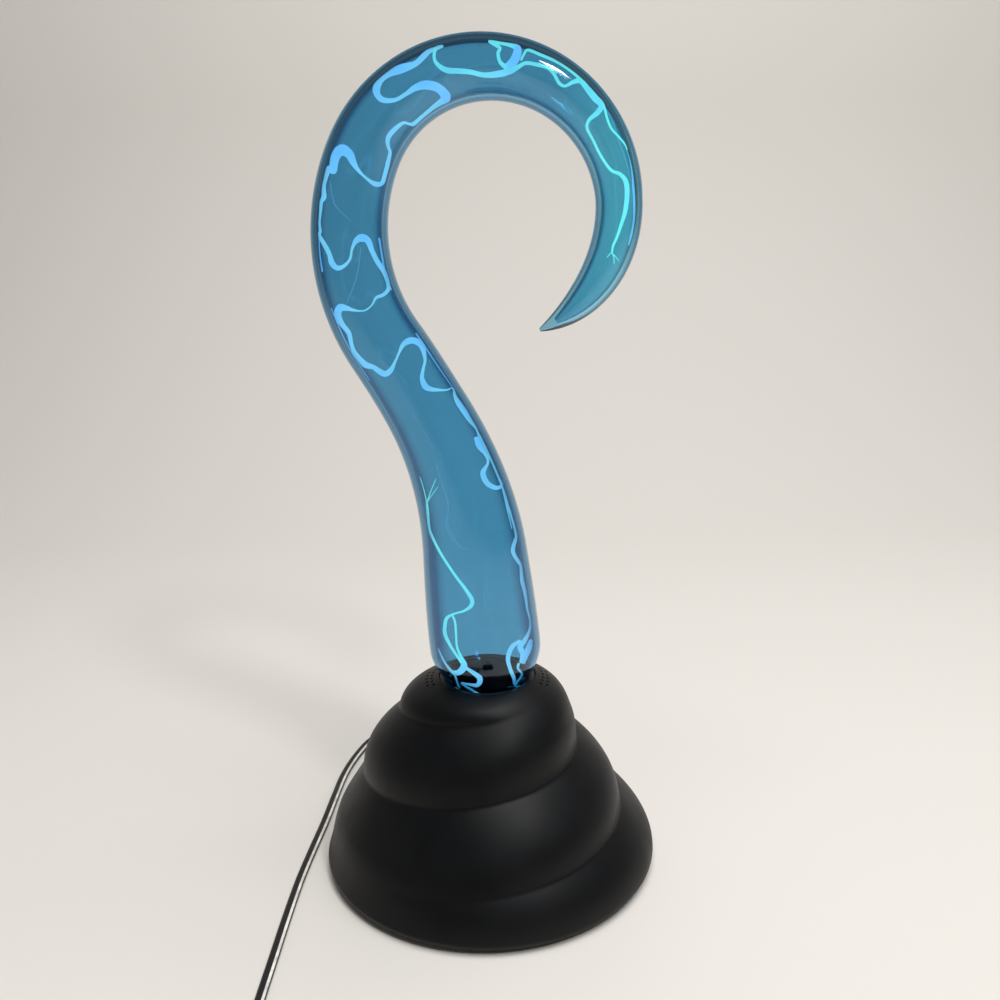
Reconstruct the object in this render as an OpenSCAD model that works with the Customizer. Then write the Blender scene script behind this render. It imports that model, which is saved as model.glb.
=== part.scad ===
// Plasma lamp: a hollow hook of tinted glass standing in a black spiral base.
// Millimetres, +Z up, origin on the table under the centre of the base.
// The front of the lamp faces -Y, and its controls are at the rear, +Y.

/* [Base shell] */
// Diameter of the base at its widest
base_d = 175; // [168:1:200]
// Height of the shell's top above the table
base_h = 102.5; // [99:0.5:112]
// Gap between the shell's lower rim and the table
base_gap = 1.2; // [1:0.1:2]
// Radius of the rounded lower edge
base_edge_r = 4.5; // [3:0.5:6]
// Wall of the moulded shell
shell_wall = 3; // [2:0.1:4]
// How quickly the top dome turns down, 2 is a parabola
dome_power = 3.15; // [1.5:0.05:3.6]
// How quickly each tier below a ledge turns down
tier_power = 2.1; // [1.2:0.05:2.6]
// How quickly the lowest tier turns down
low_power = 2.6; // [1.2:0.05:3.2]
// How quickly the skirt turns down where no ledge crosses it
skirt_power = 1.15; // [1.05:0.05:2]

/* [Spiral ledge] */
// Turn at which the ledge starts, counted clockwise from the right
ledge_start = 0.1; // [0:0.05:0.2]
// Turn at which the ledge ends
ledge_end = 2.35; // [2.25:0.05:2.45]
// Distance from the collar out to the start of the ledge
ledge_start_out = 11.4; // [8:0.1:13]
// Distance from the base's widest edge in to the end of the ledge
ledge_end_in = 4.6; // [3:0.1:6]
// Depth of the ledge's start below the shell's top
ledge_start_drop = 5; // [4:0.1:8]
// Height of the ledge's end above the table
ledge_end_h = 20.8; // [18:0.1:26]
// How the ledge's radius grows along its turns
ledge_r_power = 1.27; // [1:0.01:1.4]
// How the ledge drops along its turns
ledge_z_power = 1.02; // [0.9:0.01:1.3]
// Turns over which the ledge fades in at the top
ledge_fade_in = 0.2; // [0.1:0.05:0.3]
// Turns over which the ledge fades out at the bottom
ledge_fade_out = 0.3; // [0.1:0.05:0.4]
// Sideways shift of the spiral's own axis
spiral_shift = -5.1; // [-9:0.1:0]

/* [Vent holes] */
// Diameter of a vent hole
vent_d = 1.5; // [1:0.1:2]
// Vent holes in the inner row on each side
vent_count = 6; // [3:1:7]
// Angle between neighbouring vent holes
vent_step = 7.2; // [6:0.1:9]
// Distance of the inner row from the collar's edge
vent_out = 4; // [3:0.1:5]
// Distance between the two rows
vent_row_gap = 2.7; // [2.2:0.1:4]

/* [Glass tube] */
// Wall of the glass
glass_wall = 2.8; // [1.5:0.1:3.2]
// Diameter of the glass neck inside the collar
neck_d = 41; // [36:0.5:44]
// Depth of the glass neck below the collar's top
neck_depth = 39; // [36:0.5:42]
// Height over which the heel rounds out above the collar
heel_len = 18.5; // [14:0.5:26]
// Lean gained along the heel
heel_turn = 4.9; // [0:0.1:8]
// Diameter at the top of the heel
heel_d = 57.1; // [50:0.1:62]
// Length of the straight part above the heel
shank_len = 48.5; // [30:0.5:60]
// Lean gained along the straight part
shank_turn = -0.5; // [-3:0.1:6]
// Diameter at the top of the straight part
shank_d = 52.7; // [46:0.1:60]
// Length of the first sway to the left
sway_len = 74.5; // [60:0.5:100]
// Turn of the first sway
sway_turn = 23.1; // [10:0.1:30]
// Diameter at the end of the first sway
sway_d = 40.8; // [34:0.1:46]
// Length of the climb to the shoulder
climb_len = 39.5; // [30:0.5:60]
// Turn of the climb
climb_turn = 5.3; // [2:0.1:14]
// Diameter at the end of the climb
climb_d = 38.5; // [32:0.1:42]
// Length of the shoulder, where the tube starts to hook over
shoulder_len = 91.5; // [70:0.5:110]
// Turn of the shoulder, to the right
shoulder_turn = 58; // [40:0.1:70]
// Diameter at the end of the shoulder
shoulder_d = 33.6; // [26:0.1:36]
// Length of the crown of the hook
crown_len = 160.5; // [140:0.5:180]
// Turn of the crown
crown_turn = 151; // [140:0.5:165]
// Diameter at the end of the crown
crown_d = 21.6; // [16:0.1:26]
// Length of the pointed nose
nose_len = 74.5; // [60:0.5:85]
// Turn of the nose
nose_turn = 71; // [50:0.1:80]
// Diameter of the sealed tip
tip_d = 1.6; // [1:0.1:3]
// Length of solid glass behind the tip
tip_solid = 9; // [7:0.5:14]
// How late the nose starts to taper, 3 is late
nose_power = 3; // [2:0.1:4]

/* [Collar and socket] */
// Thickness of the gasket between the glass and the collar
gasket_t = 0.9; // [0.6:0.1:1.2]
// Radial thickness of the collar ring
collar_wall = 3.4; // [2:0.1:3.8]
// Depth of the collar's top below the shell's top
collar_drop = 0.5; // [0:0.1:1]
// Height of the collar ring
collar_h = 18.5; // [16:0.5:22]
// Thickness of the socket's flange and floor
socket_floor = 3; // [2:0.1:4]
// Wall of the socket cup
socket_wall = 2.4; // [1.6:0.1:3]
// Diameter of the socket's flange
socket_flange_d = 68; // [66:1:69]
// Diameter of the ring of socket screws
socket_screw_ring_d = 58; // [57:0.5:59]
// Thickness of the pad under the glass
pad_h = 2; // [1:0.1:3]

/* [Electrode] */
// Diameter of the electrode pin
pin_d = 3; // [2:0.1:4]
// Diameter of the electrode cup
electrode_d = 24; // [16:0.5:28]
// Height of the electrode cup
electrode_h = 11; // [6:0.5:14]
// Sheet thickness of the electrode cup
electrode_wall = 0.8; // [0.5:0.1:1.5]
// Height of the ceramic bead under the cup
bead_h = 3; // [2:0.1:5]

/* [Base plate and feet] */
// Thickness of the base plate
plate_t = 3; // [2.6:0.1:4]
// Diameter of a rubber foot
foot_d = 16; // [10:0.5:20]
// Height of a rubber foot below the plate
foot_h = 2; // [1.8:0.1:2.6]
// Distance of the feet's centres from the edge of the plate
foot_inset = 18; // [14:1:26]
// Distance of the plate screws from the edge of the plate
plate_screw_inset = 8; // [7:0.5:10]
// Shank diameter of the screws
screw_d = 3; // [2:0.1:3.2]
// Head diameter of the screws
screw_head_d = 6; // [5:0.1:7]
// Outer diameter of a screw boss
boss_d = 9; // [8:0.1:10]
// Height of the plate bosses
boss_h = 17; // [14:0.5:20]

/* [Rear controls] */
// Width of the recessed control panel
panel_w = 60; // [56:1:66]
// Height of the control panel
panel_h = 24; // [23:0.5:27]
// Height of the panel's lower edge above the base plate
panel_lift = 3; // [2:0.1:5]
// Depth of the panel's face inside the base's widest line
panel_depth = 21.5; // [20.5:0.5:23.5]
// Thickness of the panel and its rim
panel_t = 2.4; // [2:0.1:3]
// Distance of the jack and the knob from the switch
control_pitch = 18; // [17.5:0.5:19]
// Diameter of the sensitivity knob
knob_d = 14; // [11:0.5:16]
// Length of the knob
knob_h = 8.5; // [6:0.5:9.5]
// Diameter of the potentiometer's shaft
shaft_d = 6; // [4:0.5:6.5]
// Travel of the slide switch
switch_travel = 4; // [2:0.5:5]
// Length of the slider's finger piece
slider_w = 5.6; // [4:0.1:7]
// Height of the slider's finger piece
slider_h = 3.8; // [3:0.1:5]
// Stand-out of the slider's finger piece
slider_out = 3.4; // [2:0.1:5]
// Diameter of the jack's neck
jack_d = 8; // [7:0.1:9]

/* [Circuit] */
// Width of the circuit board
board_w = 84; // [76:1:88]
// Depth of the circuit board
board_l = 62; // [56:1:66]
// Thickness of the circuit board
board_t = 1.6; // [1:0.1:2]
// Height of the standoffs under the board
standoff_h = 7; // [5:0.5:10]
// Width of the transformer's ferrite core
core_w = 34; // [32:0.5:38]
// Height of the ferrite core
core_h = 26; // [24:0.5:30]
// Depth of the ferrite core
core_l = 12; // [8:0.5:13]
// Width of a leg of the core
core_leg = 8; // [6:0.5:8.5]
// Diameter of the transformer's winding
winding_d = 20; // [18:0.5:21]

/* [Lead] */
// Width of the flat twin lead
lead_w = 4.8; // [4:0.1:5.2]
// Thickness of the flat twin lead
lead_t = 2.4; // [2:0.1:2.6]
// Turns in each layer of the coil
coil_turns = 3.875; // [2.875:1:3.875]
// Outer radius of the coil at the middle of the lead
coil_r = 34; // [32:0.5:36]
// Step between neighbouring turns
coil_step = 3.3; // [3.2:0.05:3.5]
// Rise from the lower layer to the upper one
coil_rise = 5.8; // [5.6:0.1:6.4]
// Width of the tie round the coil
tie_w = 12; // [8:0.5:16]
// Thickness of the tie
tie_t = 0.6; // [0.4:0.1:0.8]

/* [Wall adapter] */
// Length of the adapter's case
adapter_l = 66; // [56:1:76]
// Width of the adapter's case
adapter_w = 44; // [38:1:50]
// Height of the adapter's case
adapter_h = 30; // [28:1:36]
// Wall of the adapter's case
adapter_wall = 2.2; // [1.6:0.1:3]
// Spacing of the two blades
blade_pitch = 12.7; // [10:0.1:14]
// Stand-out of the blades
blade_l = 17; // [14:0.5:18]

/* [Hidden] */
$fn = 48;

// Clearances
fit = 0.2;           // between parts that are pushed together
running = 0.05;      // round a turning shaft
slide_gap = 0.3;     // round a sliding part
snug = 0.02;         // round a pin that is sealed or pressed in

// Base
base_r = base_d / 2;
edge_z = base_gap + base_edge_r;
collar_bore_r = neck_d / 2 + gasket_t + fit;
collar_r = collar_bore_r + collar_wall;
collar_edge = 0.5;
collar_top = base_h - collar_drop;
shift_reach_top = 20;
shift_reach_low = 25;
plate_z = foot_h;
plate_top = plate_z + plate_t;
plate_r = base_r - base_edge_r - 3;
plate_gap = 0.3;
foot_ring_r = plate_r - foot_inset;
plate_screw_r = plate_r - plate_screw_inset;
plate_screw_l = 12;
socket_screw_bite = 9;
cavity_top = base_h - 2 * shell_wall;
boss_angles = [45, 135, 225, 315];
pilot_d = screw_d + 0.1;
hole_d = screw_d + 0.6;
head_h = 1.6;

// Glass
neck_r = neck_d / 2;
heel_z = collar_top - 1;
glass_bottom = collar_top - neck_depth;
bottom_round = 4;
tube_arcs = [
    [heel_len, heel_turn, heel_d],
    [shank_len, shank_turn, shank_d],
    [sway_len, sway_turn, sway_d],
    [climb_len, climb_turn, climb_d],
    [shoulder_len, -shoulder_turn, shoulder_d],
    [crown_len, -crown_turn, crown_d],
    [nose_len, -nose_turn, tip_d]
];
tube_len = heel_len + shank_len + sway_len + climb_len + shoulder_len + crown_len + nose_len;
nose_from = tube_len - nose_len;
glass_sides = 20;
ring_pitch = 9;

// Socket and electrode
socket_top = collar_top - collar_h;
socket_r = neck_r + fit;
socket_z = glass_bottom - pad_h - socket_floor;
pin_r = pin_d / 2;
bead_z = glass_bottom + glass_wall;
cup_z = bead_z + bead_h;
pin_head_h = 1.5;
pin_low = socket_z - 8;

// Controls
panel_z = plate_top + panel_lift;
control_z = panel_z + panel_h / 2;
jack_x = -control_pitch;
knob_x = control_pitch;
panel_y = base_r - panel_depth;
panel_back = panel_y - panel_t;
nut_h = 2.2;
pot_r = 8;
pot_l = 9;
bush_r = shaft_d / 2 + 0.8;
bush_out = 3.2;
knob_gap = 0.6;
switch_w = 18;
switch_h = 10;
switch_l = 7;
foot_w = slider_w + 2.4;
slide_foot_h = slider_h + 2;
jack_body_r = 5.6;
jack_l = 11;
jack_out = 3;
plug_r = 5.2;
plug_l = 23;
relief_l = 20;
barrel_r = 2.75;
mic_r = 4.8;
mic_l = 5;
shaft_l = 5.5 + panel_t + bush_out + knob_gap + knob_h - 2.2;
slot_w = switch_travel + slider_w + 2 * slide_gap;
slot_h = slider_h + 2 * slide_gap;
well_w = switch_travel + foot_w + 2 * slide_gap;
well_h = slide_foot_h + 2 * slide_gap;
well_l = 4;

// Circuit
board_z = plate_top + standoff_h;
board_y = -8;
board_top = board_z + board_t;
board_hole_x = board_w / 2 - 5;
board_hole_y = board_l / 2 - 5;
core_x = -14;
core_y = -14;
leg_x = core_x - core_w / 2 + core_leg / 2;
bobbin_h = core_h - 2 * core_leg;
bobbin_z = board_top + core_leg;
flange_t = 1;
wire_d = 2;
sink_x = 24;
sink_l = 40;
sink_h = 24;
sink_t = 3;
fin_l = 12;
fin_t = 2;
fin_count = 5;

// Lead: chosen points from the plug to the table (the third value is the share of the fall), then along the
// table to the coil, with x measured from the base's left side
lead_rest = 1.5;
plug_end = [jack_x, panel_y + jack_out + plug_l + relief_l, control_z];
lead_drop = [
    [0, 0, 0], [0, 7, 0], [-2, 17, 0.054], [-10, 25, 0.216], [-22, 28, 0.459], [-35, 25, 0.703],
    [-48, 18, 0.892], [-57, 10, 0.984], [-63, 1, 1]
];
lead_floor = [
    [0.5, 94, 1.5], [-3.5, 73, 1.5], [-5.5, 48, 1.5], [-7, 24, 1.5], [-9.5, -4, 1.5], [-11.5, -30, 1.5],
    [-12.5, -60, 1.5], [-13, -88, 1.5], [-13.5, -116, 1.5], [-13.5, -130, 1.8], [-13.5, -142, 2.5],
    [-13.5, -152, 3.2], [-13.5, -162, 3.5]
];
lead_points = concat(
    [for (p = lead_drop) plug_end + [p[0], p[1], -p[2] * (control_z - lead_rest)]],
    [for (p = lead_floor) [p[0] - base_r, p[1], p[2]]]
);
// Quarter turn of the flat lead at each point, from lying flat to standing on edge
lead_twist = [for (i = [0:len(lead_points) - 1]) i < 18 ? 0 : min(90, (i - 17) * 30)];
lead_sides = 8;
lead_end = lead_points[len(lead_points) - 1];
coil_low = lead_end[2];
coil_high = coil_low + coil_rise;
coil_centre = [lead_end[0] + coil_r, lead_end[1] - lead_w];
coil_rings = 24;
coil_sides = 6;
coil_climb = 0.5;
coil_inner = coil_r - coil_step * coil_turns;
coil_total = 2 * coil_turns + coil_climb;
tail_start = [coil_centre[0] + lead_w, coil_centre[1] - coil_r, coil_high];
tail_points = [
    tail_start, tail_start + [6, 0, 0.2], tail_start + [14, 0, 1.6], tail_start + [20, 0, 2.6],
    tail_start + [26, 0, 2.7]
];
tail_end = tail_points[len(tail_points) - 1];
tie_angle = 225;
tie_gap = 0.3;

// Adapter
adapter_relief_l = 22;
adapter_x = tail_end[0] + adapter_relief_l;
adapter_y = tail_end[1];
adapter_split = adapter_h * 0.55;
adapter_corner = 5;
blade_w = 6.4;
blade_t = 1.5;
blade_root = 6;
mains_core_l = 36;
mains_core_w = 32;
mains_core_h = 12;
mains_coil_l = 22;
mains_coil_w = 36;

// Helpers

function smooth_step(x) = let (c = max(0, min(1, x))) c * c * (3 - 2 * c);
function unit(v) = v / norm(v);

// Skins a list of rings, each with the same number of points, into one closed solid.
module skin(rings) {
    n = len(rings[0]);
    m = len(rings);
    walls = [
        for (i = [0:m - 2], j = [0:n - 1])
            let (a = i * n + j, b = i * n + (j + 1) % n)
                each [[a, a + n, b + n], [a, b + n, b]]
    ];
    low_cap = [for (j = [1:n - 2]) [0, j, j + 1]];
    top_cap = [for (j = [1:n - 2]) [(m - 1) * n, (m - 1) * n + j + 1, (m - 1) * n + j]];
    polyhedron(points = [for (r = rings) each r], faces = concat(walls, low_cap, top_cap));
}

// Flat oval section at a point, its width along w and its thickness along t.
function oval(p, w, t, sides, width, thick) = [
    for (j = [0:sides - 1])
        let (
            half = 180 / sides,
            even = sides % 4 == 0,
            a = 2 * half * j + (even ? half : 0),
            reach = even ? 1 / cos(half) : 1
        )
            p + w * cos(a) * reach * width / 2 + t * sin(a) * thick / cos(half) / 2
];

// Rings of a flat lead along a list of points, twisted by the given angles.
function lead_rings(pts, twists, sides) = [
    for (i = [0:len(pts) - 1])
        let (
            a = pts[max(0, i - 1)],
            b = pts[min(len(pts) - 1, i + 1)],
            ends = i == 0 || i == len(pts) - 1,
            dir = unit(ends && abs((b - a)[2]) < 1 ? [(b - a)[0], (b - a)[1], 0] : b - a),
            flat = unit(cross(dir, [0, 0, 1])),
            up = cross(flat, dir),
            w = flat * cos(twists[i]) + up * sin(twists[i]),
            t = cross(dir, w)
        )
            oval(pts[i], w, t, sides, lead_w, lead_t)
];

// Rings of a round wire along a list of points.
function wire_rings(pts, d, sides) = [
    for (i = [0:len(pts) - 1])
        let (
            dir = unit(pts[min(len(pts) - 1, i + 1)] - pts[max(0, i - 1)]),
            side = unit(cross(dir, [0.31, 0.95, 0.02])),
            up = cross(dir, side)
        )
            [for (j = [0:sides - 1]) let (a = 360 * j / sides) pts[i] + (side * cos(a) + up * sin(a)) * d / 2]
];

module screw(length) {
    translate([0, 0, -head_h]) cylinder(d = screw_head_d, h = head_h);
    cylinder(d = screw_d, h = length);
}

// Base surface

function ledge_share(t) = max(0, (t - ledge_start) / (ledge_end - ledge_start));
function ledge_r(t) = let (from = collar_r + ledge_start_out, to = base_r - ledge_end_in)
    from + (to - from) * pow(ledge_share(t), ledge_r_power);
function ledge_z(t) = let (from = base_h - ledge_start_drop)
    from - (from - ledge_end_h) * pow(ledge_share(t), ledge_z_power);
function ledge_point(t) = [ledge_r(t), ledge_z(t)];

// Radius of one convex tier between two points of a section, at height z.
function tier(a, b, z, power) = let (f = max(0, min(1, (a[1] - z) / (a[1] - b[1]))))
    a[0] + (b[0] - a[0]) * (1 - pow(1 - f, power));

// Radius of the section at clockwise turn u and height z, about the spiral's axis.
function section_r(u, z) =
    let (
        rim = [collar_r, base_h],
        low = [base_r, edge_z],
        a = ledge_point(u),
        b = ledge_point(u + 1),
        c = ledge_point(u + 2),
        show_a = smooth_step((u - ledge_start) / ledge_fade_in),
        show_c = 1 - smooth_step((u + 2 - ledge_end + ledge_fade_out - 0.05) / ledge_fade_out),
        // Behind the lamp the skirt's bend goes over into that of the lowest tier, where the turn closes.
        bend = skirt_power + (low_power - skirt_power) * smooth_step(2 * u - 1)
    )
    z <= edge_z ? base_r - base_edge_r + sqrt(max(0, pow(base_edge_r, 2) - pow(edge_z - z, 2))) :
    z >= b[1] ?
        let (plain = tier(rim, b, z, dome_power))
        let (cut = z >= a[1] ? tier(rim, a, z, dome_power) : tier(a, b, z, tier_power))
        plain + show_a * (cut - plain) :
        let (plain = tier(b, low, z, bend))
        let (cut = z >= c[1] ? tier(b, c, z, tier_power) : tier(c, low, z, low_power))
        plain + show_c * (cut - plain);

// Share of the sideways shift at height z: none at the rim and none at the lower edge.
function shift_at(z) = spiral_shift *
    smooth_step((base_h - z) / shift_reach_top) * smooth_step((z - edge_z) / shift_reach_low);

function base_point(u, z) = let (r = section_r(u, z))
    [r * cos(-360 * u) + shift_at(z), r * sin(-360 * u), z];

base_sides = 72;
base_rows = 38;
edge_rows = 4;
base_levels = concat(
    [for (i = [0:edge_rows - 1]) edge_z - base_edge_r * cos(90 * i / edge_rows)],
    [for (i = [0:base_rows]) edge_z + (base_h - edge_z) * i / base_rows]
);

// Radius of the cavity at height z, a wall inside the nearest point of the outer surface.
function cavity_r(z) = min([
    for (i = [0:35])
        let (p = base_point(i / 36, min(base_h, z + shell_wall)))
            norm([p[0], p[1]])
]) - 0.8 * shell_wall;
cavity_levels = [0, 0.12, 0.25, 0.4, 0.55, 0.7, 0.85, 0.95, 1];
cavity_low = plate_top + 2;
cavity_outline = [
    for (f = cavity_levels)
        let (z = cavity_low + (cavity_top - cavity_low) * f)
            [cavity_r(z), z]
];
// Rings of the outer surface between two heights, drawn in by an inset.
function base_rings(levels, inset) = [
    for (z = levels)
        [
            for (j = [0:base_sides - 1])
                let (p = base_point(1 - j / base_sides, z), r = norm([p[0], p[1]]))
                    [p[0] * (r - inset) / r, p[1] * (r - inset) / r, z]
        ]
];
panel_flush = 0.8;
panel_levels = [for (i = [0:6]) panel_z - 1 + (panel_h + 2) * i / 6];

// Glass centreline and diameter

function chord(len, turn) = abs(turn) < 0.001 ? len : len * sin(turn / 2) / (turn / 2 * PI / 180);

// Place along the tube: [x, z, heading], the heading measured from +Z towards -X.
function tube_at(s, i = 0, x = 0, z = heel_z, head = 0) =
    let (
        whole = tube_arcs[i][0],
        here = i == len(tube_arcs) - 1 || s <= whole,
        run = here ? s : whole,
        turn = tube_arcs[i][1] * run / whole,
        c = chord(run, turn),
        nx = x - c * sin(head + turn / 2),
        nz = z + c * cos(head + turn / 2)
    )
    here ? [nx, nz, head + turn] : tube_at(s - whole, i + 1, nx, nz, head + turn);

function arc_end(i) = i < 0 ? 0 : tube_arcs[i][0] + arc_end(i - 1);
function slope_at(i) = i <= 0 || i >= len(tube_arcs) - 2 ? (i <= 0 ? 0 : -0.07) :
    (tube_arcs[i + 1][2] - tube_arcs[i - 1][2]) / (arc_end(i + 1) - arc_end(i - 1));
function hermite(f, a, b, ta, tb) = a * (1 + 2 * f) * pow(1 - f, 2) + b * f * f * (3 - 2 * f)
    + ta * f * pow(1 - f, 2) - tb * f * f * (1 - f);

// Diameter of the tube at distance s above the heel's start.
function tube_d(s, i = 0) =
    s <= heel_len ? neck_d + (heel_d - neck_d) * (1 - pow(1 - max(0, s) / heel_len, 2)) :
    s >= nose_from ? tip_d + (crown_d - tip_d) * (1 - pow((s - nose_from) / nose_len, nose_power)) :
    s > arc_end(i) ? tube_d(s, i + 1) :
    let (h = tube_arcs[i][0], f = (s - arc_end(i - 1)) / h)
        hermite(f, tube_arcs[i - 1][2], tube_arcs[i][2], slope_at(i - 1) * h, slope_at(i) * h);

function tube_ring(s, r) = let (p = tube_at(s), n = [cos(p[2]), 0, sin(p[2])])
    [
        for (j = [0:glass_sides - 1])
            let (a = 360 * j / glass_sides)
                [p[0], 0, p[1]] + n * r * cos(a) + [0, r * sin(a), 0]
    ];
function neck_ring(z, r) = [
    for (j = [0:glass_sides - 1]) [r * cos(360 * j / glass_sides), r * sin(360 * j / glass_sides), z]
];
function steps(from, to, pitch) =
    let (n = ceil((to - from) / pitch)) [for (i = [1:n]) from + (to - from) * i / n];

// Rings of the tube, drawn in by an inset all round.
function glass_rings(inset, end) = concat(
    [
        for (a = [90, 45, 0])
            neck_ring(
                glass_bottom + inset + bottom_round * (1 - sin(a)),
                neck_r - inset - bottom_round * (1 - cos(a))
            )
    ],
    [neck_ring(heel_z, neck_r - inset)],
    [for (s = [1.5, 4, 8, 13]) tube_ring(s, tube_d(s) / 2 - inset)],
    [for (s = steps(13, nose_from, ring_pitch)) tube_ring(s, tube_d(s) / 2 - inset)],
    [for (s = steps(nose_from, end, 7)) tube_ring(s, max(0.5, tube_d(s) / 2 - inset))]
);

// Pieces

module glass_tube() {
    color([0.45, 0.75, 0.85])
    difference() {
        skin(glass_rings(0, tube_len));
        skin(glass_rings(glass_wall, tube_len - tip_solid));
        translate([0, 0, glass_bottom - 1]) cylinder(r = pin_r + snug, h = glass_wall + 2);
    }
}

module collar_ring() {
    color([0.1, 0.1, 0.11])
    rotate_extrude()
        polygon([
            [collar_bore_r, socket_top], [collar_r, socket_top], [collar_r, collar_top - collar_edge],
            [collar_r - collar_edge, collar_top], [collar_bore_r + collar_edge, collar_top],
            [collar_bore_r, collar_top - collar_edge]
        ]);
}

module glass_gasket() {
    color([0.15, 0.15, 0.16])
    translate([0, 0, socket_top + 1])
    difference() {
        cylinder(r = collar_bore_r - fit / 2, h = collar_h - 3);
        translate([0, 0, -1]) cylinder(r = neck_r + fit / 2, h = collar_h);
    }
}

module socket_cup() {
    color([0.2, 0.2, 0.21])
    difference() {
        union() {
            translate([0, 0, socket_z]) cylinder(r = socket_r + socket_wall, h = socket_top - socket_z);
            translate([0, 0, socket_top - socket_floor]) cylinder(d = socket_flange_d, h = socket_floor);
        }
        translate([0, 0, socket_z + socket_floor]) cylinder(r = socket_r, h = neck_depth);
        translate([0, 0, socket_z - 1]) cylinder(r = pin_r + 3, h = socket_floor + 2);
        socket_places() translate([0, 0, socket_top - socket_floor - 1])
            cylinder(d = hole_d, h = socket_floor + 2);
    }
}

module socket_places() {
    for (a = [90, 210, 330]) rotate([0, 0, a]) translate([socket_screw_ring_d / 2, 0, 0]) children();
}

module glass_pad() {
    color([0.25, 0.25, 0.26])
    translate([0, 0, glass_bottom - pad_h])
    difference() {
        cylinder(r = neck_r - 1, h = pad_h);
        translate([0, 0, -1]) cylinder(r = pin_r + 4, h = pad_h + 2);
    }
}

module socket_screws() {
    color([0.7, 0.7, 0.72])
    socket_places() translate([0, 0, socket_top - socket_floor]) screw(socket_floor + socket_screw_bite);
}

module electrode_cup() {
    color([0.75, 0.75, 0.78])
    translate([0, 0, cup_z])
    difference() {
        cylinder(d = electrode_d, h = electrode_h);
        translate([0, 0, electrode_wall]) cylinder(d = electrode_d - 2 * electrode_wall, h = electrode_h);
        translate([0, 0, -1]) cylinder(r = pin_r + snug, h = electrode_wall + 2);
    }
}

module electrode_pin() {
    color([0.6, 0.6, 0.63])
    union() {
        translate([0, 0, pin_low]) cylinder(r = pin_r, h = cup_z + electrode_wall - pin_low);
        translate([0, 0, cup_z + electrode_wall]) cylinder(d = 2 * pin_d, h = pin_head_h);
    }
}

module ceramic_bead() {
    color([0.9, 0.88, 0.84])
    translate([0, 0, bead_z])
    difference() {
        cylinder(d = 3 * pin_d, h = bead_h);
        translate([0, 0, -1]) cylinder(r = pin_r + snug, h = bead_h + 2);
    }
}

module hv_lead() {
    top = bobbin_z + bobbin_h;
    color([0.85, 0.2, 0.15])
    skin(wire_rings([
        [leg_x, core_y - winding_d / 2 + 0.5, top],
        [leg_x, core_y - winding_d / 2 + 0.5, top + 6],
        [leg_x + 3, core_y - 7, top + core_leg + 4],
        [leg_x / 2, core_y / 2 - 4, top + core_leg + 5],
        [-5, -4.5, pin_low - 7],
        [0, 0, pin_low - 4],
        [0, 0, pin_low]
    ], wire_d, 8));
}

module base_shell() {
    color([0.07, 0.07, 0.08])
    difference() {
        skin(base_rings(base_levels, 0));
        difference() {
            rotate_extrude()
                polygon(concat(
                    [
                        [0, base_gap - 1],
                        [plate_r + plate_gap, base_gap - 1],
                        [plate_r + plate_gap, plate_top]
                    ],
                    cavity_outline,
                    [[0, cavity_top]]
                ));
            socket_places() translate([0, 0, socket_top]) cylinder(d = boss_d - 2, h = base_h);
            for (a = boss_angles) rotate([0, 0, a]) {
                translate([plate_screw_r, 0, plate_top]) cylinder(d = boss_d, h = boss_h);
                translate([plate_screw_r, -1, plate_top]) cube([base_r, 2, boss_h]);
            }
        }
        translate([0, 0, cavity_top - 1]) cylinder(r = collar_r + fit, h = base_h);
        socket_places() translate([0, 0, socket_top - 1]) cylinder(d = pilot_d, h = socket_screw_bite + 1.5);
        for (a = boss_angles) rotate([0, 0, a])
            translate([plate_screw_r, 0, plate_top - 1]) cylinder(d = pilot_d, h = boss_h - 2);
        vent_holes();
        translate([-panel_w / 2 - fit, base_r / 2, panel_z - fit])
            cube([panel_w + 2 * fit, base_r, panel_h + 2 * fit]);
    }
}

module vent_holes() {
    for (side = [0, 180], row = [0, 1], i = [0:vent_count - 1 - row])
        rotate([0, 0, side + (i - (vent_count - 1 - row) / 2) * vent_step])
            translate([collar_r + vent_out + row * vent_row_gap, 0, cavity_top - 12])
                cylinder(d = vent_d, h = base_h, $fn = 16);
}

module base_plate() {
    color([0.12, 0.12, 0.13])
    difference() {
        union() {
            translate([0, 0, plate_z]) cylinder(r = plate_r, h = plate_t);
            board_places() translate([0, 0, plate_z]) cylinder(d = boss_d - 2, h = plate_t + standoff_h);
        }
        for (a = [0, 90, 180, 270]) rotate([0, 0, a])
            translate([foot_ring_r, 0, plate_z - 1]) cylinder(d = foot_d + 2 * fit, h = 2);
        for (a = boss_angles) rotate([0, 0, a]) translate([plate_screw_r, 0, plate_z]) screw_pocket();
        panel_places() translate([0, 0, plate_z]) screw_pocket();
        board_places() translate([0, 0, plate_top]) cylinder(d = pilot_d, h = standoff_h + 1);
    }
}

module screw_pocket() {
    translate([0, 0, -1]) cylinder(d = screw_head_d + 1, h = head_h + 1.2);
    cylinder(d = hole_d, h = plate_t + 1);
}

module board_places() {
    for (x = [-board_hole_x, board_hole_x], y = [-board_hole_y, board_hole_y])
        translate([x, board_y + y, 0]) children();
}

module panel_places() {
    for (x = [-1, 1]) translate([x * (panel_w / 2 - 5), panel_back - 6, 0]) children();
}

module plate_screws() {
    color([0.7, 0.7, 0.72])
    for (a = boss_angles) rotate([0, 0, a])
        translate([plate_screw_r, 0, plate_z + head_h + 0.2]) screw(plate_screw_l);
}

module rubber_feet() {
    color([0.05, 0.05, 0.05])
    for (a = [0, 90, 180, 270]) rotate([0, 0, a])
        translate([foot_ring_r, 0, 0]) cylinder(d = foot_d, h = foot_h + 1);
}

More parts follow.
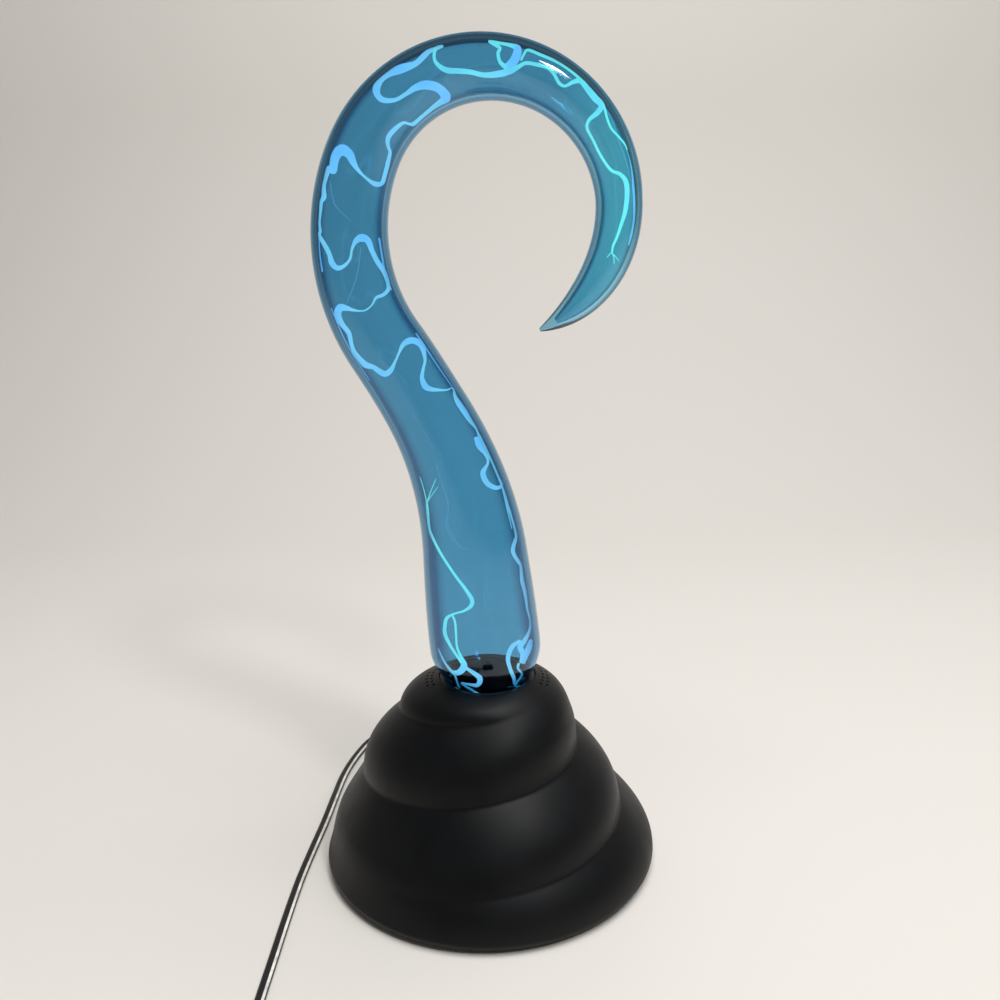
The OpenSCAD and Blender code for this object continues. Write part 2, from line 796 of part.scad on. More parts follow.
module control_panel() {
    color([0.09, 0.09, 0.1])
    difference() {
        union() {
            intersection() {
                translate([-panel_w / 2, panel_back, panel_z]) cube([panel_w, base_r, panel_h]);
                skin(base_rings(panel_levels, panel_flush));
            }
            for (x = [-1, 1])
                translate([x * (panel_w / 2 - 5) - 5, panel_back - 11, plate_top])
                    cube([10, 12, panel_lift + 3]);
        }
        translate([-panel_w / 2 + panel_t, panel_y, panel_z + panel_t])
            cube([panel_w - 2 * panel_t, base_r, panel_h - 2 * panel_t]);
        panel_bore(knob_x, bush_r + 0.1);
        panel_bore(jack_x, jack_d / 2 + 0.1);
        translate([-slot_w / 2, panel_back - 1, control_z - slot_h / 2]) cube([slot_w, panel_t + 2, slot_h]);
        panel_places() translate([0, 0, plate_top - 1]) cylinder(d = pilot_d, h = panel_lift + 2);
    }
}

module panel_bore(x, r) {
    translate([x, panel_back - 1, control_z]) rotate([-90, 0, 0]) cylinder(r = r, h = panel_t + 2);
}

module panel_screws() {
    color([0.7, 0.7, 0.72])
    panel_places() translate([0, 0, plate_z + head_h + 0.2]) screw(plate_t - head_h + panel_lift + 0.5);
}

module circuit_board() {
    color([0.1, 0.35, 0.2])
    difference() {
        translate([-board_w / 2, board_y - board_l / 2, board_z]) cube([board_w, board_l, board_t]);
        board_places() translate([0, 0, board_z - 1]) cylinder(d = hole_d, h = board_t + 2);
    }
}

module board_screws() {
    color([0.7, 0.7, 0.72])
    board_places() translate([0, 0, board_top]) rotate([180, 0, 0]) screw(board_t + standoff_h - 1);
}

module ferrite_core() {
    color([0.2, 0.2, 0.22])
    translate([core_x - core_w / 2, core_y - core_l / 2, board_top])
    difference() {
        cube([core_w, core_l, core_h]);
        translate([core_leg, -1, core_leg]) cube([core_w - 2 * core_leg, core_l + 2, bobbin_h]);
    }
}

module winding_bobbin() {
    color([0.85, 0.82, 0.7])
    translate([leg_x, core_y, bobbin_z])
    difference() {
        union() {
            cylinder(r = winding_d / 2 - 1.5, h = bobbin_h);
            cylinder(r = winding_d / 2 + 1, h = flange_t);
            translate([0, 0, bobbin_h - flange_t]) cylinder(r = winding_d / 2 + 1, h = flange_t);
        }
        translate([-core_leg / 2 - fit, -core_l / 2 - fit, -1])
            cube([core_leg + 2 * fit, core_l + 2 * fit, bobbin_h + 2]);
    }
}

module hv_winding() {
    color([0.72, 0.4, 0.2])
    translate([leg_x, core_y, bobbin_z + flange_t + fit / 2])
    difference() {
        cylinder(d = winding_d, h = bobbin_h - 2 * flange_t - fit);
        translate([0, 0, -1]) cylinder(r = winding_d / 2 - 1.5 + fit / 2, h = bobbin_h);
    }
}

module power_transistor() {
    color([0.15, 0.15, 0.16])
    union() {
        translate([sink_x - 1.3, board_y - 5, board_top + 4]) cube([1.3, 10, 16]);
        translate([sink_x - 4.5, board_y - 5, board_top + 4]) cube([4.5, 10, 9.5]);
        for (y = [-2.54, 0, 2.54])
            translate([sink_x - 3.2, board_y + y - 0.4, board_top]) cube([0.8, 0.8, 5]);
    }
}

module heat_sink() {
    color([0.75, 0.76, 0.78])
    translate([sink_x, board_y - sink_l / 2, board_top])
    union() {
        cube([sink_t, sink_l, sink_h]);
        for (i = [0:fin_count - 1])
            translate([sink_t - 1, i * (sink_l - fin_t) / (fin_count - 1), 0]) cube([fin_l, fin_t, sink_h]);
    }
}

module capacitors() {
    color([0.15, 0.2, 0.4])
    for (p = [[8, 12, 4, 13], [-6, 14, 5, 16], [-26, 12, 4, 11]])
        translate([p[0], p[1], board_top]) cylinder(r = p[2], h = p[3]);
}

module resistors() {
    color([0.75, 0.65, 0.5])
    for (y = [-34, -30, -26]) translate([12, y, board_top])
        union() {
            translate([0, 0, 1.6]) rotate([0, 90, 0]) cylinder(r = 1.2, h = 7);
            translate([-1.6, 0, 1.6]) rotate([0, 90, 0]) cylinder(r = 0.4, h = 10.2);
            for (x = [-1.6, 8.2]) translate([x, -0.4, 0]) cube([0.8, 0.8, 1.6]);
        }
}

module microphone() {
    color([0.6, 0.6, 0.62])
    translate([-20, -32, board_top])
    difference() {
        cylinder(r = mic_r, h = mic_l);
        translate([0, 0, mic_l - 1]) cylinder(r = 1.2, h = 2);
    }
}

module pot_body() {
    color([0.3, 0.32, 0.34])
    translate([knob_x, panel_back, control_z]) rotate([-90, 0, 0])
    difference() {
        union() {
            translate([0, 0, -pot_l]) cylinder(r = pot_r, h = pot_l);
            cylinder(r = bush_r, h = panel_t + bush_out);
        }
        translate([0, 0, -6]) cylinder(r = shaft_d / 2 + running, h = 30);
    }
}

module pot_nut() {
    color([0.7, 0.7, 0.72])
    translate([knob_x, panel_y, control_z]) rotate([-90, 0, 0])
    difference() {
        cylinder(r = bush_r + 2, h = nut_h, $fn = 6);
        translate([0, 0, -1]) cylinder(r = bush_r + snug, h = nut_h + 2);
    }
}

module pot_shaft() {
    color([0.75, 0.75, 0.77])
    translate([knob_x, panel_back - 5.5, control_z]) rotate([-90, 0, 0]) cylinder(d = shaft_d, h = shaft_l);
}

module sensitivity_knob() {
    color([0.06, 0.06, 0.07])
    translate([knob_x, panel_y + bush_out + knob_gap, control_z]) rotate([-90, 0, 0])
    difference() {
        cylinder(d = knob_d, h = knob_h);
        translate([0, 0, -1]) cylinder(r = shaft_d / 2 + snug, h = knob_h - 1);
        translate([-0.6, knob_d / 2 - 4, knob_h - 0.5]) cube([1.2, 5, 1]);
        for (a = [15:30:345]) rotate([0, 0, a])
            translate([knob_d / 2 + 0.5, 0, -1]) cylinder(r = 1, h = knob_h + 2, $fn = 16);
    }
}

module switch_body() {
    color([0.5, 0.5, 0.52])
    difference() {
        translate([-switch_w / 2, panel_back - switch_l, control_z - switch_h / 2])
            cube([switch_w, switch_l, switch_h]);
        translate([-well_w / 2, panel_back - well_l, control_z - well_h / 2])
            cube([well_w, well_l + 1, well_h]);
    }
}

module switch_slider() {
    color([0.85, 0.85, 0.86])
    translate([-switch_travel / 2, panel_back - well_l + slide_gap, control_z])
    union() {
        translate([-foot_w / 2, 0, -slide_foot_h / 2]) cube([foot_w, 2, slide_foot_h]);
        translate([-slider_w / 2, 0, -slider_h / 2])
            cube([slider_w, well_l - slide_gap + panel_t + slider_out, slider_h]);
    }
}

module dc_jack() {
    color([0.08, 0.08, 0.09])
    translate([jack_x, panel_back, control_z]) rotate([-90, 0, 0])
    difference() {
        union() {
            translate([0, 0, -jack_l]) cylinder(r = jack_body_r, h = jack_l);
            cylinder(d = jack_d, h = panel_t + jack_out);
        }
        translate([0, 0, -7]) cylinder(r = barrel_r + running, h = 30);
    }
}

module jack_nut() {
    color([0.7, 0.7, 0.72])
    translate([jack_x, panel_y, control_z]) rotate([-90, 0, 0])
    difference() {
        cylinder(d = jack_d + 4, h = nut_h, $fn = 6);
        translate([0, 0, -1]) cylinder(r = jack_d / 2 + snug, h = nut_h + 2);
    }
}

module jack_wires() {
    color([0.75, 0.12, 0.1])
    for (x = [-2, 2])
        skin(wire_rings([
            [jack_x + x, panel_back - jack_l, control_z],
            [jack_x + x, panel_back - jack_l - 6, control_z],
            [jack_x + 1.2 * x, panel_back - jack_l - 16, control_z - 0.5],
            [jack_x + 1.5 * x, board_y + board_l / 2 + 4, board_top + 5],
            [jack_x + 1.5 * x, board_y + board_l / 2 - 2.5, board_top + 4.6],
            [jack_x + 1.5 * x, board_y + board_l / 2 - 4, board_top + 3],
            [jack_x + 1.5 * x, board_y + board_l / 2 - 4, board_top]
        ], 1.6, 8));
}

module dc_plug() {
    color([0.05, 0.05, 0.06])
    translate([jack_x, panel_y + jack_out, control_z]) rotate([-90, 0, 0])
    union() {
        translate([0, 0, -8]) cylinder(r = barrel_r, h = 9);
        cylinder(r = plug_r, h = plug_l);
    }
}

module plug_strain_relief() {
    color([0.05, 0.05, 0.06])
    translate([jack_x, panel_y + jack_out + plug_l, control_z]) rotate([-90, 0, 0])
        cylinder(r1 = plug_r - 0.8, r2 = lead_w / 2 + 0.5, h = relief_l);
}

module lead_run() {
    color([0.05, 0.05, 0.05])
    skin(lead_rings(lead_points, lead_twist, lead_sides));
}

// Radius and height of the coil at a turn: in along the lower layer, out along the upper one.
function coil_radius(t) =
    t <= coil_turns ? coil_r - coil_step * t :
    t >= coil_turns + coil_climb ? coil_inner + coil_step * (t - coil_turns - coil_climb) :
    coil_inner - coil_step / 2 * sin(180 * (t - coil_turns) / coil_climb);
function coil_height(t) = coil_low + coil_rise * smooth_step((t - coil_turns) / coil_climb);
function coil_point(t) = [
    coil_centre[0] + coil_radius(t) * cos(180 + 360 * t),
    coil_centre[1] + coil_radius(t) * sin(180 + 360 * t),
    coil_height(t)
];
coil_path = concat(
    [lead_end],
    [for (i = [0:coil_total * coil_rings]) coil_point(i / coil_rings)],
    [tail_start]
);
coil_ring_list = lead_rings(coil_path, [for (p = coil_path) 90], coil_sides);
// Least distance between points of neighbouring turns, on the same side of the coil.
coil_least_gap = min([
    for (i = [1:len(coil_path) - 2], m = [1:ceil(coil_total)])
        let (k = i + m * coil_rings)
            if (k < len(coil_path) - 1)
                for (a = coil_ring_list[i], b = coil_ring_list[k]) norm(a - b)
]);
function path_len(p, i = 1) = i >= len(p) ? 0 : norm(p[i] - p[i - 1]) + path_len(p, i + 1);

module lead_coil() {
    echo(coil_least_gap = coil_least_gap);
    echo(lead_length = path_len(lead_points) + path_len(coil_path) + path_len(tail_points));
    color([0.06, 0.06, 0.06])
    skin(coil_ring_list);
}

module coil_tie() {
    room = tie_gap + lead_t / 2;
    inner_bow = tie_w * tie_w / 8 / (coil_inner - coil_step / 2);
    across = coil_r - coil_inner + coil_step / 2 + inner_bow + 2 * room;
    high = coil_rise + lead_w + tie_gap + snug;
    color([0.12, 0.12, 0.12])
    translate([coil_centre[0], coil_centre[1], coil_low - lead_w / 2 - tie_gap])
    rotate([0, 0, tie_angle])
    translate([coil_r + room - across, -tie_w / 2, 0])
    difference() {
        translate([-tie_t, 0, -tie_t]) cube([across + 2 * tie_t, tie_w, high + 2 * tie_t]);
        translate([0, -1, 0]) cube([across, tie_w + 2, high]);
    }
}

module lead_tail() {
    color([0.05, 0.05, 0.05])
    skin(lead_rings(tail_points, [for (p = tail_points) 90], lead_sides));
}

module case_outline(inset) {
    x = adapter_l / 2 - inset;
    y = adapter_w / 2 - inset;
    r = adapter_corner - inset;
    union() {
        square([2 * (x - r), 2 * y], center = true);
        square([2 * x, 2 * (y - r)], center = true);
        for (i = [-1, 1], j = [-1, 1]) translate([i * (x - r), j * (y - r)]) circle(r = r);
    }
}

module at_adapter(z) {
    translate([adapter_x + adapter_l / 2, adapter_y, z]) children();
}

module adapter_case() {
    color([0.06, 0.06, 0.07])
    difference() {
        at_adapter(0) linear_extrude(height = adapter_split) case_outline(0);
        at_adapter(adapter_wall) linear_extrude(height = adapter_h) case_outline(adapter_wall);
    }
}

module adapter_cover() {
    color([0.06, 0.06, 0.07])
    difference() {
        at_adapter(adapter_split) linear_extrude(height = adapter_h - adapter_split) case_outline(0);
        at_adapter(0) linear_extrude(height = adapter_h - adapter_wall) case_outline(adapter_wall);
        for (j = [-1, 1]) at_adapter(adapter_h)
            translate([-blade_w / 2 - 0.1, j * blade_pitch / 2 - blade_t / 2 - 0.1, -adapter_wall - 1])
                cube([blade_w + 0.2, blade_t + 0.2, adapter_wall + 2]);
    }
}

module adapter_blades() {
    color([0.8, 0.72, 0.45])
    for (j = [-1, 1]) at_adapter(adapter_h - blade_root)
        translate([-blade_w / 2, j * blade_pitch / 2 - blade_t / 2, 0])
            cube([blade_w, blade_t, blade_root + blade_l]);
}

module adapter_transformer() {
    color([0.5, 0.45, 0.4])
    at_adapter(adapter_wall)
    union() {
        translate([-mains_core_l / 2, -mains_core_w / 2, 0]) cube([mains_core_l, mains_core_w, mains_core_h]);
        translate([-mains_coil_l / 2, -mains_coil_w / 2, 2])
            cube([mains_coil_l, mains_coil_w, mains_core_h - 4]);
    }
}

module adapter_strain_relief() {
    color([0.05, 0.05, 0.06])
    translate(tail_end) rotate([0, 90, 0]) cylinder(r1 = lead_w / 2 + 0.5, r2 = 5.5, h = adapter_relief_l);
}

glass_tube();
collar_ring();
glass_gasket();
socket_cup();
glass_pad();
socket_screws();
electrode_cup();
electrode_pin();
ceramic_bead();
hv_lead();
base_shell();
base_plate();
plate_screws();
rubber_feet();
control_panel();
panel_screws();
circuit_board();
board_screws();
ferrite_core();
winding_bobbin();
hv_winding();
power_transistor();
heat_sink();
capacitors();
resistors();
microphone();
pot_body();
pot_nut();
pot_shaft();
sensitivity_knob();
switch_body();
switch_slider();
dc_jack();
jack_nut();
jack_wires();
dc_plug();
plug_strain_relief();
lead_run();
lead_coil();
coil_tie();
lead_tail();
adapter_case();
adapter_cover();
adapter_blades();
adapter_transformer();
adapter_strain_relief();
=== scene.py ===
"""Plasma lamp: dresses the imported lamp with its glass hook, glowing discharge, spiral base and lead."""

import math

import bmesh
import bpy
import numpy as np
from bpy.props import FloatProperty, FloatVectorProperty, IntProperty, PointerProperty
from mathutils import Matrix, Vector


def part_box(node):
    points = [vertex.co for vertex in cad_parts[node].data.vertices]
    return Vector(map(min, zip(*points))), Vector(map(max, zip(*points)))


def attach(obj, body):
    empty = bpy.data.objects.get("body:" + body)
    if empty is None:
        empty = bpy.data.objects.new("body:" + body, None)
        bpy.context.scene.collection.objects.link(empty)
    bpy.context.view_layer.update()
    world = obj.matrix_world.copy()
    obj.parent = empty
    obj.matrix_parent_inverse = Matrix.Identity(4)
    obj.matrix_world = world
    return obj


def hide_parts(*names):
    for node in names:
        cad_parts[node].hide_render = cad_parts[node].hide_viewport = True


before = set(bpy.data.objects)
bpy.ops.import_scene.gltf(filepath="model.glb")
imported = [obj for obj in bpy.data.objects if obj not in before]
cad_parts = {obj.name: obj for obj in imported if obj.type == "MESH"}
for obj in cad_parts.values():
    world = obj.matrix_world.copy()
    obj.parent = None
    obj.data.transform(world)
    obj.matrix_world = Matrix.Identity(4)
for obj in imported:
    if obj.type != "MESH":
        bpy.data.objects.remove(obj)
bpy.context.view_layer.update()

bl_info = {
    "name": "Plasma lamp",
    "version": (1, 0, 0),
    "blender": (4, 5, 0),
    "location": "View3D > Sidebar > Plasma lamp",
    "description": "Builds a plasma lamp with a glass hook on a spiral base",
    "category": "Object",
}

MM = 0.001
# Less than this counts as nothing in a division.
TINY = 1e-6
ROOT_BODY = "lamp"

# Camera: place in millimetres, angles in degrees, focal length in pixels of the 1000 pixel square image.
CAMERA_PLACE = (8.2, -479.0, 327.0)
CAMERA_PITCH, CAMERA_ROLL = 15.3, -1.0
IMAGE_SIDE, FOCAL_PIXELS = 1000, 1000
SENSOR_MM, CLIP_START = 36.0, 0.01

# Stage, in metres: half the floor's width, where it starts to bend up, the bend's radius, the backdrop's top.
FLOOR_HALF, BEND_START, BEND_RADIUS, BACKDROP_TOP = 6.0, 0.55, 0.5, 0.85
BEND_RINGS = 18
SKY_COLOUR = "#F4F3F0"
LIGHT_AIM = (0.0, 0.0, 0.22)
SHEEN_LIGHT = "sheen_softbox"
# Lights: name, the setting with its power, place, side of the square, and whether gloss and glass show it.
LIGHTS = (
    ("key_panel", "key_power", (0.48, -0.70, 1.12), 0.16, True),
    ("top_softbox", "top_power", (0.25, -0.15, 1.6), 1.3, False),
    (SHEEN_LIGHT, "sheen_power", (0.25, -0.05, 1.3), 0.7, True),
)

# Spiral base, in millimetres and turns.
COLLAR_RADIUS = 25.0
COLLAR_BORE = 21.6
COLLAR_TOP = 102.0
SOCKET_TOP = 83.5
BASE_GAP = 1.2
LEDGE_START, LEDGE_END = 0.1, 2.35
LEDGE_START_RADIUS, LEDGE_START_HEIGHT = 36.4, 97.5
LEDGE_END_INSET, LEDGE_END_HEIGHT = 4.6, 20.8
LEDGE_RADIUS_POWER, LEDGE_HEIGHT_POWER = 1.27, 1.02
LEDGE_FADE_IN, LEDGE_FADE_OUT, LEDGE_FADE_PAST = 0.2, 0.3, 0.05
DOME_POWER, TIER_POWER, LOW_POWER, SKIRT_POWER = 3.15, 2.1, 2.6, 1.15
CREASE_FILLET, FILLET_SAMPLES = 0.9, 9
EDGE_RINGS = 8
SPIRAL_SHIFT, SHIFT_REACH_TOP, SHIFT_REACH_LOW = -5.1, 20.0, 25.0
SHELL_WALL, WALL_SHARE = 3.0, 0.8
CAVITY_SAMPLES, CAVITY_LEVELS = 72, 24
PLATE_TOP, PLATE_RADIUS = 5.0, 80.0
WINDOW = ((-30.2, 43.0, 7.8), (30.2, 95.0, 32.2))
VENT_RADIUS, VENT_STEP, VENT_ROWS = 0.75, 7.2, ((29.0, 6), (31.7, 5))
VENT_LOW, VENT_HIGH, VENT_SIDES = 84.0, 110.0, 16
PLATE_ROOM, COLLAR_ROOM, COLLAR_EDGE = 0.3, 0.2, 0.7
CUT_SIDES, COLLAR_SIDES, COLLAR_BEND_POINTS = 180, 160, 7
# How far cutters go past the faces that they open, and how far above the plate the cavity starts to taper.
CUT_PAST, HOLE_PAST, CAVITY_START = 1.0, 3.0, 2.0

# Glass tube: length, turn in degrees (positive to the left) and end diameter of each arc, in millimetres.
GLASS_ARCS = (
    (18.5, 4.9, 57.1),
    (48.5, -0.5, 52.7),
    (74.5, 23.1, 40.8),
    (39.5, 5.3, 38.5),
    (91.5, -58.0, 33.6),
    (160.5, -151.0, 21.6),
    (74.5, -71.0, 1.6),
)
HEEL_HEIGHT, NECK_DIAMETER, GLASS_BOTTOM = 101.0, 41.0, 63.0
NOSE_POWER, TIP_SOLID, END_SLOPE = 3.0, 9.0, -0.07
NECK_ROUND, NECK_RINGS, NECK_STOP, LEAST_RADIUS = 4.0, 8, 1.0, 0.4
# The discharge is placed by samples of the tube that stop this far before the tip.
TIP_MARGIN = 4.0
GLASS_IOR = 1.47
# Where the stain turns greener on its way to the tip, in metres along X.
TIP_TINT_FROM, TIP_TINT_FULL = 0.035, 0.065
# Where it darkens at the rims, partly for the longer path through the stain and partly as painted shade: 0 is
# a wall that faces the eye, 1 is one seen edge on.
RIM_STAIN_AND_SHADE_FROM, RIM_STAIN_AND_SHADE_FULL = 0.3, 0.55

# Lead: the same chosen points as in the part's source, in metres, from the plug to the coil.
LEAD_POINTS = (
    (-0.018, 0.112, 0.020), (-0.018, 0.119, 0.020), (-0.020, 0.129, 0.019), (-0.028, 0.137, 0.016),
    (-0.040, 0.140, 0.0115), (-0.053, 0.137, 0.007), (-0.066, 0.130, 0.0035), (-0.075, 0.122, 0.0018),
    (-0.081, 0.113, 0.0015), (-0.087, 0.094, 0.0015), (-0.091, 0.073, 0.0015), (-0.093, 0.048, 0.0015),
    (-0.0945, 0.024, 0.0015), (-0.097, -0.004, 0.0015), (-0.099, -0.030, 0.0015), (-0.100, -0.060, 0.0015),
    (-0.1005, -0.088, 0.0015), (-0.101, -0.116, 0.0015), (-0.101, -0.130, 0.0018), (-0.101, -0.142, 0.0025),
    (-0.101, -0.152, 0.0032), (-0.101, -0.162, 0.0035),
)
LEAD_FLAT_POINTS = 18
COIL_RADIUS, COIL_STEP, COIL_RISE = 0.034, 0.0033, 0.0058
COIL_TURNS, COIL_CLIMB = 3.875, 0.5
TAIL_STEPS = ((0.0, 0.0), (0.006, 0.0002), (0.014, 0.0016), (0.020, 0.0026), (0.026, 0.0027))
COIL_SAMPLES = 96
LEAD_SAMPLE = 0.003
SAME_POINT = 1e-5
# Section of the lead: how far each lobe goes round in degrees, its points, and the sides with the stripe.
LOBE_TURN, LOBE_POINTS, STRIPED_SIDES = 128, 13, range(14, 17)

# Small pieces, in metres. Turned ones close at this radius instead of at a point.
AXIS_RADIUS = 0.0005
TURNED_SIDES, BARREL_SIDES = 64, 48
# Plug: length, chamfer, shoulder (in, along), and the rings of its grip with the share of radius in a groove.
PLUG_LENGTH, PLUG_CHAMFER, PLUG_SHOULDER = 0.023, 0.0006, (0.001, 0.0025)
GRIP_START, GRIP_STEP, GRIP_RINGS, GRIP_GROOVE = 0.004, 0.0013, 11, 0.94
BARREL_RADIUS, BARREL_LENGTH, BARREL_CHAMFER = 0.00275, 0.009, (0.00015, 0.0003)
# Strain reliefs: ribs, their start and their span as shares of the length, and the groove behind each.
RELIEF_RIBS, RIBS_FROM, RIBS_SPAN = 7, 0.08, 0.86
RIB_TOP, RIB_FOOT, RIB_DRAFT, GROOVE_DEPTH = 0.6, 0.65, 0.0001, 0.0006
RELIEF_LIP, LIP_CHAMFER = 0.95, 0.0003
# Strap round the coil: half its reach across the turns, width, thickness, how square its loop is, its sides.
TIE_HALF, TIE_WIDTH, TIE_THICK, TIE_SQUARE, TIE_SIDES = 0.0098, 0.012, 0.0006, 0.35, 72
# Knob: bore, chamfers at the foot and the rim, dish of its face, and flutes with their depth as a share.
KNOB_BORE, KNOB_FOOT, KNOB_RIM, KNOB_DISH = 0.0032, 0.0004, 0.0012, 0.0003
KNOB_FLUTES, FLUTE_DEPTH, KNOB_SIDES = 24, 0.07, 192
# Pointer on the knob: half its width, its depth, and how far it keeps from the middle and from the rim.
POINTER_HALF, POINTER_DEPTH, POINTER_FROM, POINTER_RIM = 0.0005, 0.0014, 0.0015, 0.0014
# Slider: how much shorter its finger is than its foot at each end, half the finger's height, how far the
# ridges stand above it, the foot's thickness, and the ridges' spacing, half width, depth and half height.
FINGER_INSET, FINGER_HALF, FINGER_DROP, FOOT_THICK = 0.0012, 0.0019, 0.0005, 0.002
RIDGE_STEP, RIDGE_HALF, RIDGE_DEPTH, RIDGE_REACH = 0.0016, 0.0004, 0.0009, 0.0018
# Adapter halves: distance from a face and inset there, at the outer face and at the seam, and the corners.
CASE_ROUND = ((0.0, 0.0012), (0.0005, 0.0005), (0.0018, 0.0))
CASE_SEAM = ((0.0, 0.0005), (0.0006, 0.0))
CASE_CORNER, CORNER_POINTS = 0.005, 7
# Grip ribs of the adapter: how many, the first one's place, spacing, half width, depth, and both ends.
CASE_RIBS, CASE_RIB_FIRST, CASE_RIB_STEP = 7, 0.018, 0.005
CASE_RIB_HALF, CASE_RIB_DEPTH, CASE_RIB_LOW, CASE_RIB_HIGH = 0.0008, 0.0008, 0.004, 0.0145
# Bevels of the small boxes: ribs and pointer, then the slider's finger, ridges and foot.
CASE_RIB_BEVEL, POINTER_BEVEL = 0.0003, 0.0001
FINGER_BEVEL, RIDGE_BEVEL, FOOT_BEVEL = 0.0003, 0.00015, 0.0002
# Angles in degrees from which an edge stays sharp: on turned pieces, on boxes and cut pieces, on soft forms,
# on strands, and on any other piece.
TURNED_SHARP, CUT_SHARP, SOFT_SHARP, STRAND_SHARP, PLAIN_SHARP = 30.0, 35.0, 60.0, 80.0, 40.0
BACKWARD, LEFTWARD = (0, 1, 0), (-1, 0, 0)

# Patterns: where a noise's clouds start and end for colour and for gloss, where the painted bands of light
# and shade on a winding do and how dark and light they are, and how many radians a wave of scale 1 turns
# through in a metre.
TONE_STOPS, GLOSS_STOPS = (0.35, 0.65), (0.3, 0.7)
WIRE_STOPS, WIRE_PAINTED_SHADING = (0.2, 0.8), (0.45, 1.2)
WAVE_UNIT = 20.0

# Finishes of the solids that keep their own shape: name, colour, roughness, share of metal, grain in
# millimetres, strength of the grain, how it is drawn out along an axis, and the solids that have it.
FINISHES = (
    # Moulded rubber: black and dull, with a fine skin.
    ("moulded_rubber", "#1C1C1C", 0.8, 0.0, 0.8, 0.3, None, ("rubber_feet",)),
    # Moulded silicone rubber: navy, dull and a little waxy.
    ("navy_silicone_rubber", "#1C3560", 0.7, 0.0, 0.8, 0.3, None, ("glass_gasket", "glass_pad")),
    # Zinc plate on steel: pale metal with a soft gleam.
    ("zinc_plated_steel", "#B9BBBD", 0.3, 1.0, 0.6, 0.1, None,
     ("socket_screws", "plate_screws", "panel_screws", "board_screws", "pot_nut", "jack_nut", "pot_shaft")),
    # Drawn steel, blued by the heat of sealing it into the glass: dark, with a soft metal sheen.
    ("heat_blued_steel", "#2C3C5E", 0.5, 1.0, 0.8, 0.1, (1.0, 1.0, 0.1), ("electrode_cup", "electrode_pin")),
    # Fired alumina: white, matt and slightly sandy.
    ("fired_alumina", "#E4E0D6", 0.6, 0.0, 0.5, 0.2, None, ("ceramic_bead",)),
    # Glass-epoxy laminate under green solder mask: glossy, with the weave just showing.
    ("solder_mask_laminate", "#1F6B3C", 0.35, 0.0, 1.2, 0.1, None, ("circuit_board",)),
    # Sintered ferrite: dark grey, matt and grainy.
    ("sintered_ferrite", "#3B3C3F", 0.7, 0.1, 0.6, 0.3, None, ("ferrite_core",)),
    # Moulded nylon: cream, with a soft even gloss.
    ("moulded_nylon", "#D8CFB0", 0.5, 0.0, 2.0, 0.1, None, ("winding_bobbin",)),
    # Moulded epoxy: nearly black and matt, with a sandy skin.
    ("moulded_epoxy", "#222325", 0.6, 0.0, 0.7, 0.2, None, ("power_transistor",)),
    # Extruded aluminium: bright, with lines along the extrusion.
    ("extruded_aluminium", "#C3C6CA", 0.35, 1.0, 0.8, 0.2, (1.0, 1.0, 0.05), ("heat_sink",)),
    # Shrunk PVC sleeve: dark blue, smooth and glossy.
    ("shrunk_pvc_sleeve", "#28345E", 0.35, 0.0, 3.0, 0.05, None, ("capacitors",)),
    # Lacquered ceramic: tan, with a thin uneven gloss.
    ("lacquered_ceramic", "#B9A27A", 0.45, 0.0, 1.0, 0.1, None, ("resistors",)),
    # Drawn aluminium: pale and softly bright.
    ("drawn_aluminium_can", "#B4B5B8", 0.35, 1.0, 0.7, 0.1, None, ("microphone",)),
    # Pressed steel with a thin plate of zinc: grey metal, a little dull.
    ("pressed_zinc_steel", "#8C8F94", 0.4, 1.0, 1.0, 0.1, None, ("pot_body",)),
    # Pressed steel with a thin plate of tin: paler, and as dull.
    ("pressed_tin_steel", "#9B9DA1", 0.4, 1.0, 1.0, 0.1, None, ("switch_body",)),
    # Nickel plate on brass: warm and bright, with faint lines along the blades.
    ("nickel_plated_blades", "#CFC9BC", 0.25, 1.0, 0.8, 0.1, (1.0, 1.0, 0.1), ("adapter_blades",)),
    # Varnished steel laminations: brown, with the edges of the sheets as fine lines.
    ("varnished_laminations", "#5A4A3A", 0.5, 0.3, 0.5, 0.3, (0.1, 1.0, 1.0), ("adapter_transformer",)),
)

